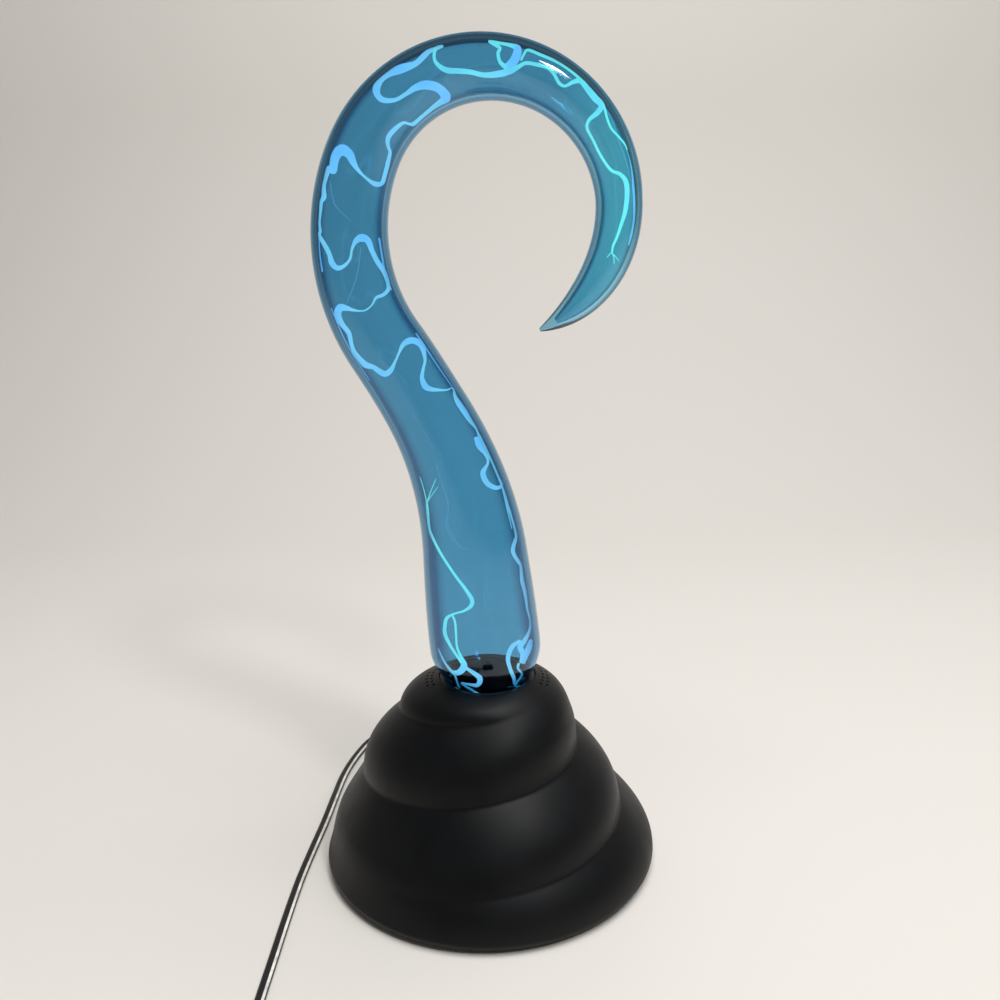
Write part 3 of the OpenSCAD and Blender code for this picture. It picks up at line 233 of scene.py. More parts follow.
# Discharge: where each strand runs, as points (across, down) of the camera's square image, and its width
# there in millimetres.
TEAL_STRANDS = (
    # Along the crown and down the right side, to where it forks.
    ((442, 44, 1.6), (436, 47, 1.8), (434, 57, 1.8), (437, 64, 2.1), (446, 70, 2.7), (458, 71, 2.6),
     (470, 72, 2.4), (484, 75, 2.4), (498, 74, 3.0), (510, 71, 3.0), (518, 67, 2.3), (526, 63, 1.9),
     (538, 65, 1.8), (548, 68, 1.8), (554, 74, 1.8), (559, 83, 1.8), (565, 86, 1.6), (573, 82, 2.2),
     (581, 81, 2.7), (591, 85, 2.6), (599, 94, 3.0), (602, 104, 3.1), (598, 112, 2.8), (589, 120, 2.0),
     (587, 128, 1.7), (593, 140, 1.5), (601, 156, 1.5), (611, 170, 1.7), (620, 174, 2.0), (626, 182, 2.4),
     (627, 196, 2.4), (625, 212, 2.2), (621, 225, 1.8), (617, 237, 1.6), (613, 246, 1.4), (612, 253, 1.1)),
    ((612, 252, 0.9), (607, 257, 0.5)),
    ((612, 252, 1.0), (614, 258, 0.8), (614, 264, 0.5)),
    ((612, 253, 0.9), (616, 257, 0.7), (619, 261, 0.4)),
    # Loop on the crown, and the branches outside it.
    ((507, 68, 2.6), (500, 62, 2.0), (498, 53, 2.0), (500, 48, 1.8), (494, 44, 1.8), (489, 41, 1.6),
     (493, 39, 1.4), (502, 39, 1.5), (512, 40, 2.0), (517, 46, 3.4), (517, 54, 4.4), (513, 62, 4.4),
     (507, 67, 3.4)),
    ((521, 60, 1.4), (524, 54, 1.5), (528, 50, 1.5), (542, 51, 1.5), (556, 56, 1.5), (569, 62, 1.5),
     (581, 72, 1.6), (590, 83, 1.7), (599, 93, 1.7)),
    ((603, 104, 1.3), (605, 110, 1.3), (607, 118, 1.3), (611, 128, 1.3), (617, 135, 1.2), (624, 143, 1.1),
     (631, 148, 0.8)),
    # Streamer low on the left.
    ((427, 503, 1.4), (428, 513, 1.6), (429, 527, 1.6), (432, 536, 1.5), (441, 554, 1.6), (454, 574, 1.7),
     (466, 590, 2.1), (472, 600, 2.5), (471, 606, 2.3), (464, 611, 1.6), (454, 614, 1.4), (447, 618, 2.0),
     (445, 625, 2.2), (445, 634, 2.2), (450, 645, 1.8), (457, 656, 1.7), (462, 663, 1.8)),
    ((420, 477, 0.5), (424, 490, 0.7), (427, 503, 1.0)),
    ((436, 479, 0.5), (431, 491, 0.7), (427, 503, 1.0)),
    ((438, 487, 0.4), (432, 495, 0.6), (427, 503, 0.9)),
    ((452, 615, 1.4), (455, 622, 1.5), (456, 634, 1.5), (457, 647, 1.5), (461, 657, 2.0), (464, 666, 3.8),
     (459, 672, 3.2), (452, 672, 1.8)),
)
BLUE_STRANDS = (
    # From the crown down the whole left side.
    ((442, 44, 1.6), (436, 46, 2.0), (429, 50, 2.4), (423, 57, 2.6), (415, 64, 2.7), (401, 69, 4.0),
     (391, 73, 3.2), (382, 79, 2.6), (377, 87, 3.4), (377, 94, 3.4), (383, 100, 2.8), (395, 100, 2.1),
     (406, 94, 2.2), (415, 88, 3.1), (426, 85, 4.0), (438, 88, 4.2), (446, 97, 4.8), (444, 105, 3.3),
     (436, 112, 2.1), (426, 122, 2.0), (417, 128, 2.0), (409, 124, 1.5), (403, 123, 1.7), (394, 130, 2.4),
     (388, 138, 2.5), (388, 146, 1.9), (390, 152, 1.8), (388, 162, 2.1), (385, 174, 2.1), (382, 183, 2.2),
     (375, 184, 2.7), (366, 178, 1.6), (358, 170, 2.2), (353, 162, 3.5), (349, 154, 4.6), (342, 150, 5.2),
     (336, 156, 4.2), (334, 164, 3.8), (333, 171, 3.4), (328, 168, 3.0), (325, 173, 2.4), (322, 185, 2.0),
     (324, 197, 2.4), (320, 202, 2.0), (316, 210, 1.5), (315, 222, 1.3), (316, 231, 1.5), (319, 235, 1.8),
     (323, 242, 2.1), (327, 249, 2.4), (330, 256, 2.4), (332, 263, 3.0), (337, 268, 2.8), (344, 266, 2.0),
     (350, 259, 1.6), (352, 249, 1.6), (356, 241, 2.8), (362, 238, 4.1), (368, 241, 3.4), (372, 251, 2.6),
     (377, 261, 2.6), (384, 272, 2.5), (388, 283, 2.2), (388, 290, 2.1), (383, 295, 2.1), (376, 298, 1.7),
     (372, 305, 1.2), (366, 310, 1.1), (360, 311, 1.2), (353, 310, 1.8), (346, 308, 3.0), (340, 308, 3.9),
     (338, 315, 3.4), (342, 324, 2.6), (349, 333, 2.4), (351, 342, 2.1), (354, 351, 2.1), (360, 359, 2.6),
     (366, 365, 3.2), (373, 367, 2.6), (379, 371, 3.0), (385, 374, 3.2), (391, 370, 2.8), (395, 362, 1.7),
     (399, 353, 1.6), (403, 345, 2.6), (409, 341, 3.4), (415, 341, 3.4), (421, 345, 3.2), (424, 353, 2.4),
     (425, 361, 1.7), (423, 370, 1.9), (422, 378, 2.5), (425, 386, 3.4), (430, 389, 2.8), (438, 390, 1.9),
     (447, 390, 1.2), (453, 388, 1.1), (459, 394, 1.9), (464, 401, 2.8), (469, 411, 3.0), (475, 418, 2.4),
     (480, 426, 1.4), (482, 432, 1.3)),
    # Knobs and lines of the right shank.
    ((477, 437, 3.4), (480, 446, 3.8), (486, 454, 2.6), (488, 463, 1.6), (483, 473, 2.9), (487, 483, 3.0),
     (496, 488, 2.5), (503, 485, 2.0), (504, 477, 1.4)),
    ((484, 434, 1.0), (493, 465, 1.1), (502, 488, 1.0), (507, 509, 0.9), (512, 529, 0.7)),
    ((482, 432, 1.4), (488, 443, 1.3), (497, 463, 1.2), (507, 486, 1.4), (514, 509, 1.5), (520, 527, 1.4),
     (522, 536, 1.6), (515, 541, 2.0), (513, 552, 2.2), (519, 563, 2.0), (526, 566, 1.6), (528, 581, 2.2),
     (526, 591, 2.2), (529, 600, 1.8), (532, 608, 1.4), (531, 625, 1.3), (525, 640, 2.4), (520, 647, 3.2),
     (523, 654, 3.0), (521, 663, 2.0)),
    # Loops at the heel.
    ((520, 641, 2.2), (512, 647, 2.6), (508, 658, 2.6), (510, 668, 2.4), (514, 677, 2.2), (516, 683, 1.8),
     (523, 675, 1.6), (518, 668, 1.6), (519, 663, 1.6)),
    ((531, 641, 2.6), (528, 650, 3.2), (523, 663, 2.2)),
    ((523, 682, 1.6), (516, 688, 1.8), (509, 690, 1.4)),
    ((466, 668, 1.8), (477, 675, 2.6), (480, 679, 3.2), (477, 684, 2.4), (468, 683, 1.4), (461, 682, 1.2),
     (471, 688, 1.5), (480, 693, 1.2)),
    ((436, 649, 1.0), (446, 665, 1.4), (454, 674, 1.8)),
    ((443, 672, 1.3), (452, 684, 1.5), (459, 690, 1.3)),
)
# Painted reflections: glowing strands put along the edges of the glass where images of the strands show in
# it.
PAINTED_EDGE_REFLECTIONS = (
    ((633, 143, 0.7), (636, 156, 0.9), (639, 170, 1.2), (641, 185, 1.6), (641, 201, 1.6), (639, 216, 1.3),
     (637, 228, 1.2), (635, 237, 1.3), (631, 246, 0.8)),
    ((315, 235, 0.8), (318, 254, 1.0), (321, 272, 1.2)),
    ((331, 308, 0.9), (341, 332, 1.1), (350, 350, 1.0), (358, 364, 0.9), (369, 381, 0.7)),
    ((379, 238, 1.2), (384, 255, 1.3), (389, 273, 1.2), (395, 289, 1.0)),
    ((419, 331, 1.0), (427, 342, 1.2), (436, 358, 1.0), (447, 373, 0.9), (457, 386, 0.7)),
)
FAINT_WISPS = (
    ((605, 108, 0.8), (612, 119, 0.9), (615, 128, 0.9), (619, 142, 0.8), (624, 155, 0.7), (630, 174, 0.4)),
    ((330, 181, 0.6), (335, 205, 0.8), (351, 221, 0.5)),
    ((361, 247, 0.8), (357, 275, 0.9), (347, 303, 0.7)),
    ((436, 465, 0.5), (448, 505, 0.7), (446, 525, 0.7), (454, 543, 0.5)),
    ((446, 520, 0.5), (458, 545, 0.7), (470, 550, 0.5)),
)
# The widths above take in the glow at both edges of a strand, which its mesh leaves out.
STRAND_GLOW = 0.00045
STRAND_REACH = 0.97
STRAND_STEP = 0.0012
THIN_STRAND, WIDE_STRAND = 1.6, 4.4
PAINTED_REFLECTION_SHARE, WISP_SHARE = 0.6, 0.16
STRAND_SIDES, BEND_ROUNDS = 8, 3
PATCH_MM, PATCH_DIM, PATCH_BRIGHT = 9.0, 0.85, 1.1
# A direction that no strand runs along.
STRAND_ASIDE = (0.31, 0.95, 0.02)


def linear(hex_text):
    """Linear red, green and blue of an sRGB hex colour."""
    shares = [int(hex_text[i:i + 2], 16) / 255 for i in (1, 3, 5)]
    return tuple(c / 12.92 if c <= 0.04045 else ((c + 0.055) / 1.055) ** 2.4 for c in shares)


def smooth_step(x):
    x = np.clip(x, 0.0, 1.0)
    return x * x * (3 - 2 * x)


class LampStageSettings(bpy.types.PropertyGroup):
    floor_colour: FloatVectorProperty(name="Floor", description="Colour of the floor and backdrop",
                                      subtype="COLOR", default=linear("#DAD6D0"))
    key_power: FloatProperty(name="Key power", description="Power of the compact key light",
                             unit="POWER", default=4.0)
    top_power: FloatProperty(name="Top power", description="Power of the softbox overhead",
                             unit="POWER", default=28.0)
    sheen_power: FloatProperty(name="Sheen power", description="Power of the softbox for the base alone",
                               unit="POWER", default=11.0)
    sky_strength: FloatProperty(name="Sky", description="Strength of the even light all round", default=0.2)


class LampBaseSettings(bpy.types.PropertyGroup):
    width: FloatProperty(name="Width", description="Widest diameter of the base",
                         unit="LENGTH", default=0.175)
    height: FloatProperty(name="Height", description="Height of the base shell",
                          unit="LENGTH", default=0.1025)
    edge: FloatProperty(name="Lower edge", description="Radius of the lower edge",
                        unit="LENGTH", default=0.0045)
    colour: FloatVectorProperty(name="Shell", description="Colour of the moulded shell",
                                subtype="COLOR", default=linear("#060709"))
    columns: IntProperty(name="Columns", description="Faces round the base", default=360)
    rows: IntProperty(name="Rows", description="Faces up the base", default=300)


class LampGlassSettings(bpy.types.PropertyGroup):
    wall: FloatProperty(name="Wall", description="Thickness of the glass", unit="LENGTH", default=0.0028)
    tint: FloatVectorProperty(name="Tint", description="Colour that one wall lets through",
                              subtype="COLOR", default=linear("#8AC8E4"))
    tip_tint: FloatVectorProperty(name="Tip tint",
                                  description="Colour that one wall lets through towards the tip",
                                  subtype="COLOR", default=linear("#93DDF0"))
    # Partly the stain's colour at the rims, partly painted shade there.
    rim_stain_and_shade: FloatVectorProperty(name="Rim tint",
                                  description="Colour let through where the eye looks along a wall",
                                  subtype="COLOR", default=linear("#0F5A90"))
    sides: IntProperty(name="Sides", description="Faces round the tube", default=80)
    ring_step: FloatProperty(name="Ring step", description="Distance between rings",
                             unit="LENGTH", default=0.0016)


class LampDischargeSettings(bpy.types.PropertyGroup):
    teal: FloatVectorProperty(name="Teal", description="Colour of the greener strands",
                              subtype="COLOR", default=linear("#A6FFEC"))
    blue: FloatVectorProperty(name="Blue", description="Colour of the bluer strands",
                              subtype="COLOR", default=linear("#BCE8F3"))
    # Also the colour of the painted reflections along the glass's edges.
    violet: FloatVectorProperty(name="Violet",
                                description="Colour of strands where they spread into a ribbon",
                                subtype="COLOR", default=linear("#A6D6FF"))
    strength: FloatProperty(name="Strength", description="Brightness of the strands", default=1.45)


class LampLeadSettings(bpy.types.PropertyGroup):
    width: FloatProperty(name="Width", description="Width of the flat twin lead",
                         unit="LENGTH", default=0.0048)
    thickness: FloatProperty(name="Thickness", description="Thickness of the lead",
                             unit="LENGTH", default=0.0024)
    length: FloatProperty(name="Length", description="Whole length of the lead", unit="LENGTH", default=1.81)
    colour: FloatVectorProperty(name="Jacket", description="Colour of the jacket",
                                subtype="COLOR", default=linear("#1A1A1B"))
    stripe: FloatVectorProperty(name="Stripe", description="Colour of the tracer stripe",
                                subtype="COLOR", default=linear("#D9D6CF"))


# Materials

def add_node(tree, kind, inputs=None, links=None, **settings):
    """Adds one node, sets its settings and sockets, and links outputs to its sockets."""
    node = tree.nodes.new(kind)
    for key, value in settings.items():
        setattr(node, key, value)
    for key, value in (inputs or {}).items():
        node.inputs[key].default_value = value
    for key, socket in (links or {}).items():
        tree.links.new(socket, node.inputs[key])
    return node


def new_material(name, relief=None, stretch=None, **sockets):
    """A material with one shader, whose even values are set on its own sockets, and a relief of fine grain.

    Relief is the size of a grain in millimetres, its detail, its height in millimetres and its strength.
    Stretch draws patterns out along an axis. The place that comes back is the point on the object.
    """
    material = bpy.data.materials.new(name)
    material.use_nodes = True
    tree = material.node_tree
    shader = tree.nodes["Principled BSDF"]
    for key, value in sockets.items():
        socket = shader.inputs[key.replace("_", " ").title().replace("Ior", "IOR")]
        socket.default_value = (*value, 1.0) if socket.type == "RGBA" else value
    place = add_node(tree, "ShaderNodeTexCoord").outputs["Object"]
    if stretch:
        place = add_node(tree, "ShaderNodeMapping", {"Scale": stretch}, {"Vector": place}).outputs["Vector"]
    if relief:
        grain_mm, detail, height_mm, strength = relief
        grain = add_node(tree, "ShaderNodeTexNoise", {"Scale": 1 / (grain_mm * MM), "Detail": detail},
                         {"Vector": place})
        bump = add_node(tree, "ShaderNodeBump", {"Strength": strength, "Distance": height_mm * MM},
                        {"Height": grain.outputs["Fac"]})
        tree.links.new(bump.outputs["Normal"], shader.inputs["Normal"])
    return material, tree, shader, place


def shade(colour, share):
    """A darker or lighter shade of a colour, opaque."""
    return (*(min(1.0, c * share) for c in colour), 1.0)


def clouded(name, colour, gloss, spread, cloud, relief, stretch=None, **sockets):
    """A solid material whose colour and gloss drift together in clouds.

    Gloss is the lowest and highest roughness, spread the darkest and lightest share of the colour, and cloud
    the size of a cloud in millimetres and its detail.
    """
    material, tree, shader, place = new_material(name, relief, stretch, base_color=colour, **sockets)
    size_mm, detail = cloud
    noise = add_node(tree, "ShaderNodeTexNoise", {"Scale": 1 / (size_mm * MM), "Detail": detail},
                     {"Vector": place})
    tones = add_node(tree, "ShaderNodeValToRGB", links={"Fac": noise.outputs["Fac"]})
    for stop, at, share in zip(tones.color_ramp.elements, TONE_STOPS, spread):
        stop.position = at
        stop.color = shade(colour, share)
    limits = dict(zip(("From Min", "From Max", "To Min", "To Max"), (*GLOSS_STOPS, *gloss)))
    rough = add_node(tree, "ShaderNodeMapRange", limits, {"Value": noise.outputs["Fac"]})
    tree.links.new(tones.outputs["Color"], shader.inputs["Base Color"])
    tree.links.new(rough.outputs["Result"], shader.inputs["Roughness"])
    return material


def moulded_abs(name, colour, roughness, grain_mm, sheen_level=0.5):
    # Dark ABS from a spark-eroded mould: a satin skin with a fine grain, drawn coarse enough to show,
    # and broad smudges from handling that make its gloss uneven.
    return clouded(name, colour, gloss=(roughness - 0.05, roughness + 0.08), spread=(0.85, 1.2),
                   cloud=(28.0, 3.0), relief=(grain_mm, 2.0, 0.06, 0.22), ior=1.54,
                   specular_ior_level=sheen_level)


def extruded_sleeve(name, colour, roughness=0.45):
    # Soft PVC or silicone, extruded: smooth along the run with a slightly uneven, waxy gloss.
    return clouded(name, colour, gloss=(roughness - 0.08, roughness + 0.1), spread=(0.8, 1.25),
                   cloud=(6.0, 2.0), relief=(1.2, 2.0, 0.03, 0.15), ior=1.53)


def worked_surface(name, colour, roughness, metallic=0.0, grain_mm=1.0, strength=0.15, stretch=None):
    """A solid finish with a little spread of colour and gloss at the scale of its own grain."""
    return clouded(name, colour, gloss=(max(0.05, roughness - 0.08), min(1.0, roughness + 0.1)),
                   spread=(0.82, 1.15), cloud=(grain_mm, 2.0), relief=(grain_mm, 2.0, 0.05, strength),
                   stretch=stretch, metallic=metallic)


def wound_wire(name, colour, wire_mm):
    # Enamelled copper wire in close turns: painted highlights and painted shade in bands round the winding,
    # drawn several wires wide to show; the same bands raise a bump.
    material, tree, shader, place = new_material(name, base_color=colour, metallic=0.9, roughness=0.3)
    wave = add_node(tree, "ShaderNodeTexWave", {"Scale": 1 / (wire_mm * MM * WAVE_UNIT), "Distortion": 0.3},
                    {"Vector": place}, bands_direction="Z")
    # Painted highlight and shade: each band runs from a darker to a lighter shade of the wire's colour.
    tones = add_node(tree, "ShaderNodeValToRGB", links={"Fac": wave.outputs["Fac"]})
    for stop, at, share in zip(tones.color_ramp.elements, WIRE_STOPS, WIRE_PAINTED_SHADING):
        stop.position = at
        stop.color = shade(colour, share)
    bump = add_node(tree, "ShaderNodeBump", {"Strength": 0.5, "Distance": 0.2 * MM},
                    {"Height": wave.outputs["Fac"]})
    tree.links.new(tones.outputs["Color"], shader.inputs["Base Color"])
    tree.links.new(bump.outputs["Normal"], shader.inputs["Normal"])
    return material


def painted_board(colour):
    # Painted board: pale and matt, with a faint roller texture.
    return new_material("painted_board", relief=(3.0, 2.0, 0.05, 0.1), base_color=colour, roughness=0.85)[0]


def tinted_borosilicate(tint, tip_tint, rim_stain_and_shade):
    # Blown borosilicate tube with a thin stain on its walls: clear and very smooth, a little lighter and
    # greener towards the tip, with the faint draw lines of lampwork. It is darker at its rims where the eye
    # looks along the wall: partly the longer path through the stain, partly painted shade that stands in for
    # dark surroundings seen in the rims.
    material, tree, shader, place = new_material("stained_borosilicate_glass", relief=(30.0, 1.0, 0.25, 0.04),
                                                 roughness=0.0, ior=GLASS_IOR, transmission_weight=1.0)
    across = add_node(tree, "ShaderNodeSeparateXYZ", links={"Vector": place})
    reach = add_node(tree, "ShaderNodeMapRange", {"From Min": TIP_TINT_FROM, "From Max": TIP_TINT_FULL},
                     {"Value": across.outputs["X"]})
    stain = add_node(tree, "ShaderNodeMix", {6: (*tint, 1.0), 7: (*tip_tint, 1.0)},
                     {0: reach.outputs["Result"]}, data_type="RGBA")
    # Painted shade: the colour darkens towards the rims by how edge-on the wall is seen, on top of the stain
    # there.
    facing = add_node(tree, "ShaderNodeLayerWeight", {"Blend": 0.5})
    rim = add_node(tree, "ShaderNodeMapRange", {"From Min": RIM_STAIN_AND_SHADE_FROM, "From Max": RIM_STAIN_AND_SHADE_FULL},
                   {"Value": facing.outputs["Facing"]})
    body = add_node(tree, "ShaderNodeMix", {7: (*rim_stain_and_shade, 1.0)},
                    {0: rim.outputs["Result"], 6: stain.outputs[2]}, data_type="RGBA")
    tree.links.new(body.outputs[2], shader.inputs["Base Color"])
    return material


def glowing_gas(name, thin, wide, strength, share):
    # Ionised gas: bright and even across a strand, bluer where the strand spreads into a ribbon, and a little
    # patchy along its length. The share is how far it hides what is behind it. It also draws the painted
    # reflections of the strands along the glass's edges.
    material = bpy.data.materials.new(name)
    material.use_nodes = True
    tree = material.node_tree
    tree.nodes.clear()
    width = add_node(tree, "ShaderNodeAttribute", attribute_name="strand_width")
    span = add_node(tree, "ShaderNodeMapRange", {"From Min": THIN_STRAND, "From Max": WIDE_STRAND},
                    {"Value": width.outputs["Fac"]})
    spread = add_node(tree, "ShaderNodeValToRGB", links={"Fac": span.outputs["Result"]})
    for stop, colour in zip(spread.color_ramp.elements, (thin, wide)):
        stop.color = (*colour, 1.0)
    place = add_node(tree, "ShaderNodeTexCoord").outputs["Object"]
    noise = add_node(tree, "ShaderNodeTexNoise", {"Scale": 1 / (PATCH_MM * MM), "Detail": 2.0},
                     {"Vector": place})
    patches = add_node(tree, "ShaderNodeMapRange",
                       {"To Min": strength * PATCH_DIM, "To Max": strength * PATCH_BRIGHT},
                       {"Value": noise.outputs["Fac"]})
    glow = add_node(tree, "ShaderNodeEmission",
                    links={"Color": spread.outputs["Color"], "Strength": patches.outputs["Result"]})
    clear = add_node(tree, "ShaderNodeBsdfTransparent")
    both = add_node(tree, "ShaderNodeMixShader", {0: share},
                    {1: clear.outputs["BSDF"], 2: glow.outputs["Emission"]})
    add_node(tree, "ShaderNodeOutputMaterial", links={"Surface": both.outputs["Shader"]})
    return material


# Meshes

def mesh_piece(name, points, faces, materials, sharp_deg=PLAIN_SHARP, body=ROOT_BODY):
    """A smooth-shaded mesh object, in metres in the row frame, that rides a body."""
    mesh = bpy.data.meshes.new(name)
    mesh.from_pydata([tuple(p) for p in points], [], [tuple(f) for f in faces])
    mesh.validate()
    mesh.shade_smooth()
    mesh.set_sharp_from_angle(angle=math.radians(sharp_deg))
    for material in materials:
        mesh.materials.append(material)
    piece = bpy.data.objects.new(name, mesh)
    bpy.context.scene.collection.objects.link(piece)
    if body:
        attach(piece, body)
    return piece


def round_angles(count):
    """Angles all the way round, in even steps."""
    return np.arange(count) * 2 * math.pi / count


def unit(rows):
    """Each row scaled to length one."""
    return rows / np.linalg.norm(rows, axis=1)[:, None]


def shifted(faces, start):
    """Faces whose points begin at start."""
    return [[start + i for i in face] for face in faces]


def ring_faces(rings, sides, closed=False):
    """Quads between neighbouring rings, with a cap at each end unless the last ring closes on the first."""
    i, j = np.meshgrid(np.arange(rings if closed else rings - 1), np.arange(sides), indexing="ij")
    a, b, total = i * sides + j, i * sides + (j + 1) % sides, rings * sides
    faces = np.stack([a, b, (b + sides) % total, (a + sides) % total], -1).reshape(-1, 4).tolist()
    if not closed:
        faces.append(list(range(sides))[::-1])
        faces.append(list(range(total - sides, total)))
    return faces


def lathe(profile, sides, flutes=0, flute_depth=0.0, closed=False):
    """Points and faces of a profile of (radius, height) turned about Z; a closed profile gives a ring."""
    angle = round_angles(sides)
    wave = 1 - flute_depth * np.maximum(0.0, np.cos(flutes * angle)) ** 2
    points = [(r * w * math.cos(a), r * w * math.sin(a), h) for r, h in profile for a, w in zip(angle, wave)]
    return points, ring_faces(len(profile), sides, closed)


def turned(name, profile, origin, direction, material, sides=TURNED_SIDES, body=ROOT_BODY, flutes=0,
           flute_depth=0.0):
    """A piece turned about the line from origin along direction, in metres."""
    turn = Vector(direction).to_track_quat("Z", "Y").to_matrix()
    points, faces = lathe(profile, sides, flutes, flute_depth)
    points = [turn @ Vector(p) + Vector(origin) for p in points]
    return mesh_piece(name, points, faces, [material], TURNED_SHARP, body)


def boxed(name, low, high, bevel, material, body):
    """A box with rounded edges."""
    work = bmesh.new()
    bmesh.ops.create_cube(work, size=1.0)
    size = Vector(high) - Vector(low)
    for vertex in work.verts:
        vertex.co = Vector(low) + Vector(((c + 0.5) * s for c, s in zip(vertex.co, size)))
    bmesh.ops.bevel(work, geom=work.edges[:], offset=bevel, segments=3, profile=0.5, affect="EDGES")
    points = [v.co.copy() for v in work.verts]
    work.verts.index_update()
    faces = [[v.index for v in f.verts] for f in work.faces]
    work.free()
    return mesh_piece(name, points, faces, [material], CUT_SHARP, body)


def node_box(node):
    """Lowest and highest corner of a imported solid, as vectors."""
    return tuple(Vector(corner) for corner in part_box(node))


def cutter(name, points, faces):
    """A closed mesh, given in millimetres, that is only there to be cut out of a piece."""
    return mesh_piece(name, np.array(points) * MM, faces, [], body=None)


def cut(piece, cutters):
    """Takes closed cutters out of a closed piece and keeps the result as its mesh."""
    for tool in cutters:
        modifier = piece.modifiers.new("cut", "BOOLEAN")
        modifier.operation = "DIFFERENCE"
        modifier.solver = "MANIFOLD"
        modifier.object = tool
    bpy.context.view_layer.update()
    result = bpy.data.meshes.new_from_object(piece.evaluated_get(bpy.context.evaluated_depsgraph_get()))
    if not result.polygons:
        raise RuntimeError(f"Cutting left nothing of {piece.name}")
    piece.modifiers.clear()
    old = piece.data
    piece.data = result
    bpy.data.meshes.remove(old)
    for tool in cutters:
        mesh = tool.data
        bpy.data.objects.remove(tool)
        bpy.data.meshes.remove(mesh)
    result.shade_smooth()
    result.set_sharp_from_angle(angle=math.radians(CUT_SHARP))


def sweep(path, radii):
    """Points and faces of a round strand along a path, in metres."""
    tangent = unit(np.gradient(path, axis=0))
    side = unit(np.cross(tangent, STRAND_ASIDE))
    up = np.cross(tangent, side)
    angle = round_angles(STRAND_SIDES)
    rings = path[:, None, :] + radii[:, None, None] * (
        side[:, None, :] * np.cos(angle)[None, :, None] + up[:, None, :] * np.sin(angle)[None, :, None])
    return rings.reshape(-1, 3), ring_faces(len(path), STRAND_SIDES)


def through(points, step):
    """A smooth path through the points, with samples about one step apart."""
    p = np.asarray(points, float)
    ends = np.vstack([2 * p[0] - p[1], p, 2 * p[-1] - p[-2]])
    out = []
    for a, b, c, d in zip(ends[:-3], ends[1:-2], ends[2:-1], ends[3:]):
        count = max(2, int(math.ceil(np.linalg.norm(c - b) / step)))
        for t in np.arange(count) / count:
            out.append(0.5 * (2 * b + (c - a) * t + (2 * a - 5 * b + 4 * c - d) * t ** 2
                              + (3 * b - a - 3 * c + d) * t ** 3))
    out.append(p[-1])
    return np.array(out)


# Camera

def camera_axes():
    """Right, up and forward of the camera, in the row frame."""
    pitch, roll = math.radians(CAMERA_PITCH), math.radians(CAMERA_ROLL)
    forward = np.array((0.0, math.cos(pitch), -math.sin(pitch)))
    level_up = np.array((0.0, math.sin(pitch), math.cos(pitch)))
    level_right = np.array((1.0, 0.0, 0.0))
    right = math.cos(roll) * level_right + math.sin(roll) * level_up
    up = -math.sin(roll) * level_right + math.cos(roll) * level_up
    return right, up, forward


def pixel_ray(pixel):
    """Direction in the row frame of the ray through a point of the camera's image."""
    right, up, forward = camera_axes()
    half = IMAGE_SIDE / 2
    return forward + right * (pixel[0] - half) / FOCAL_PIXELS - up * (pixel[1] - half) / FOCAL_PIXELS


# Base surface, the same formula as in the part's source

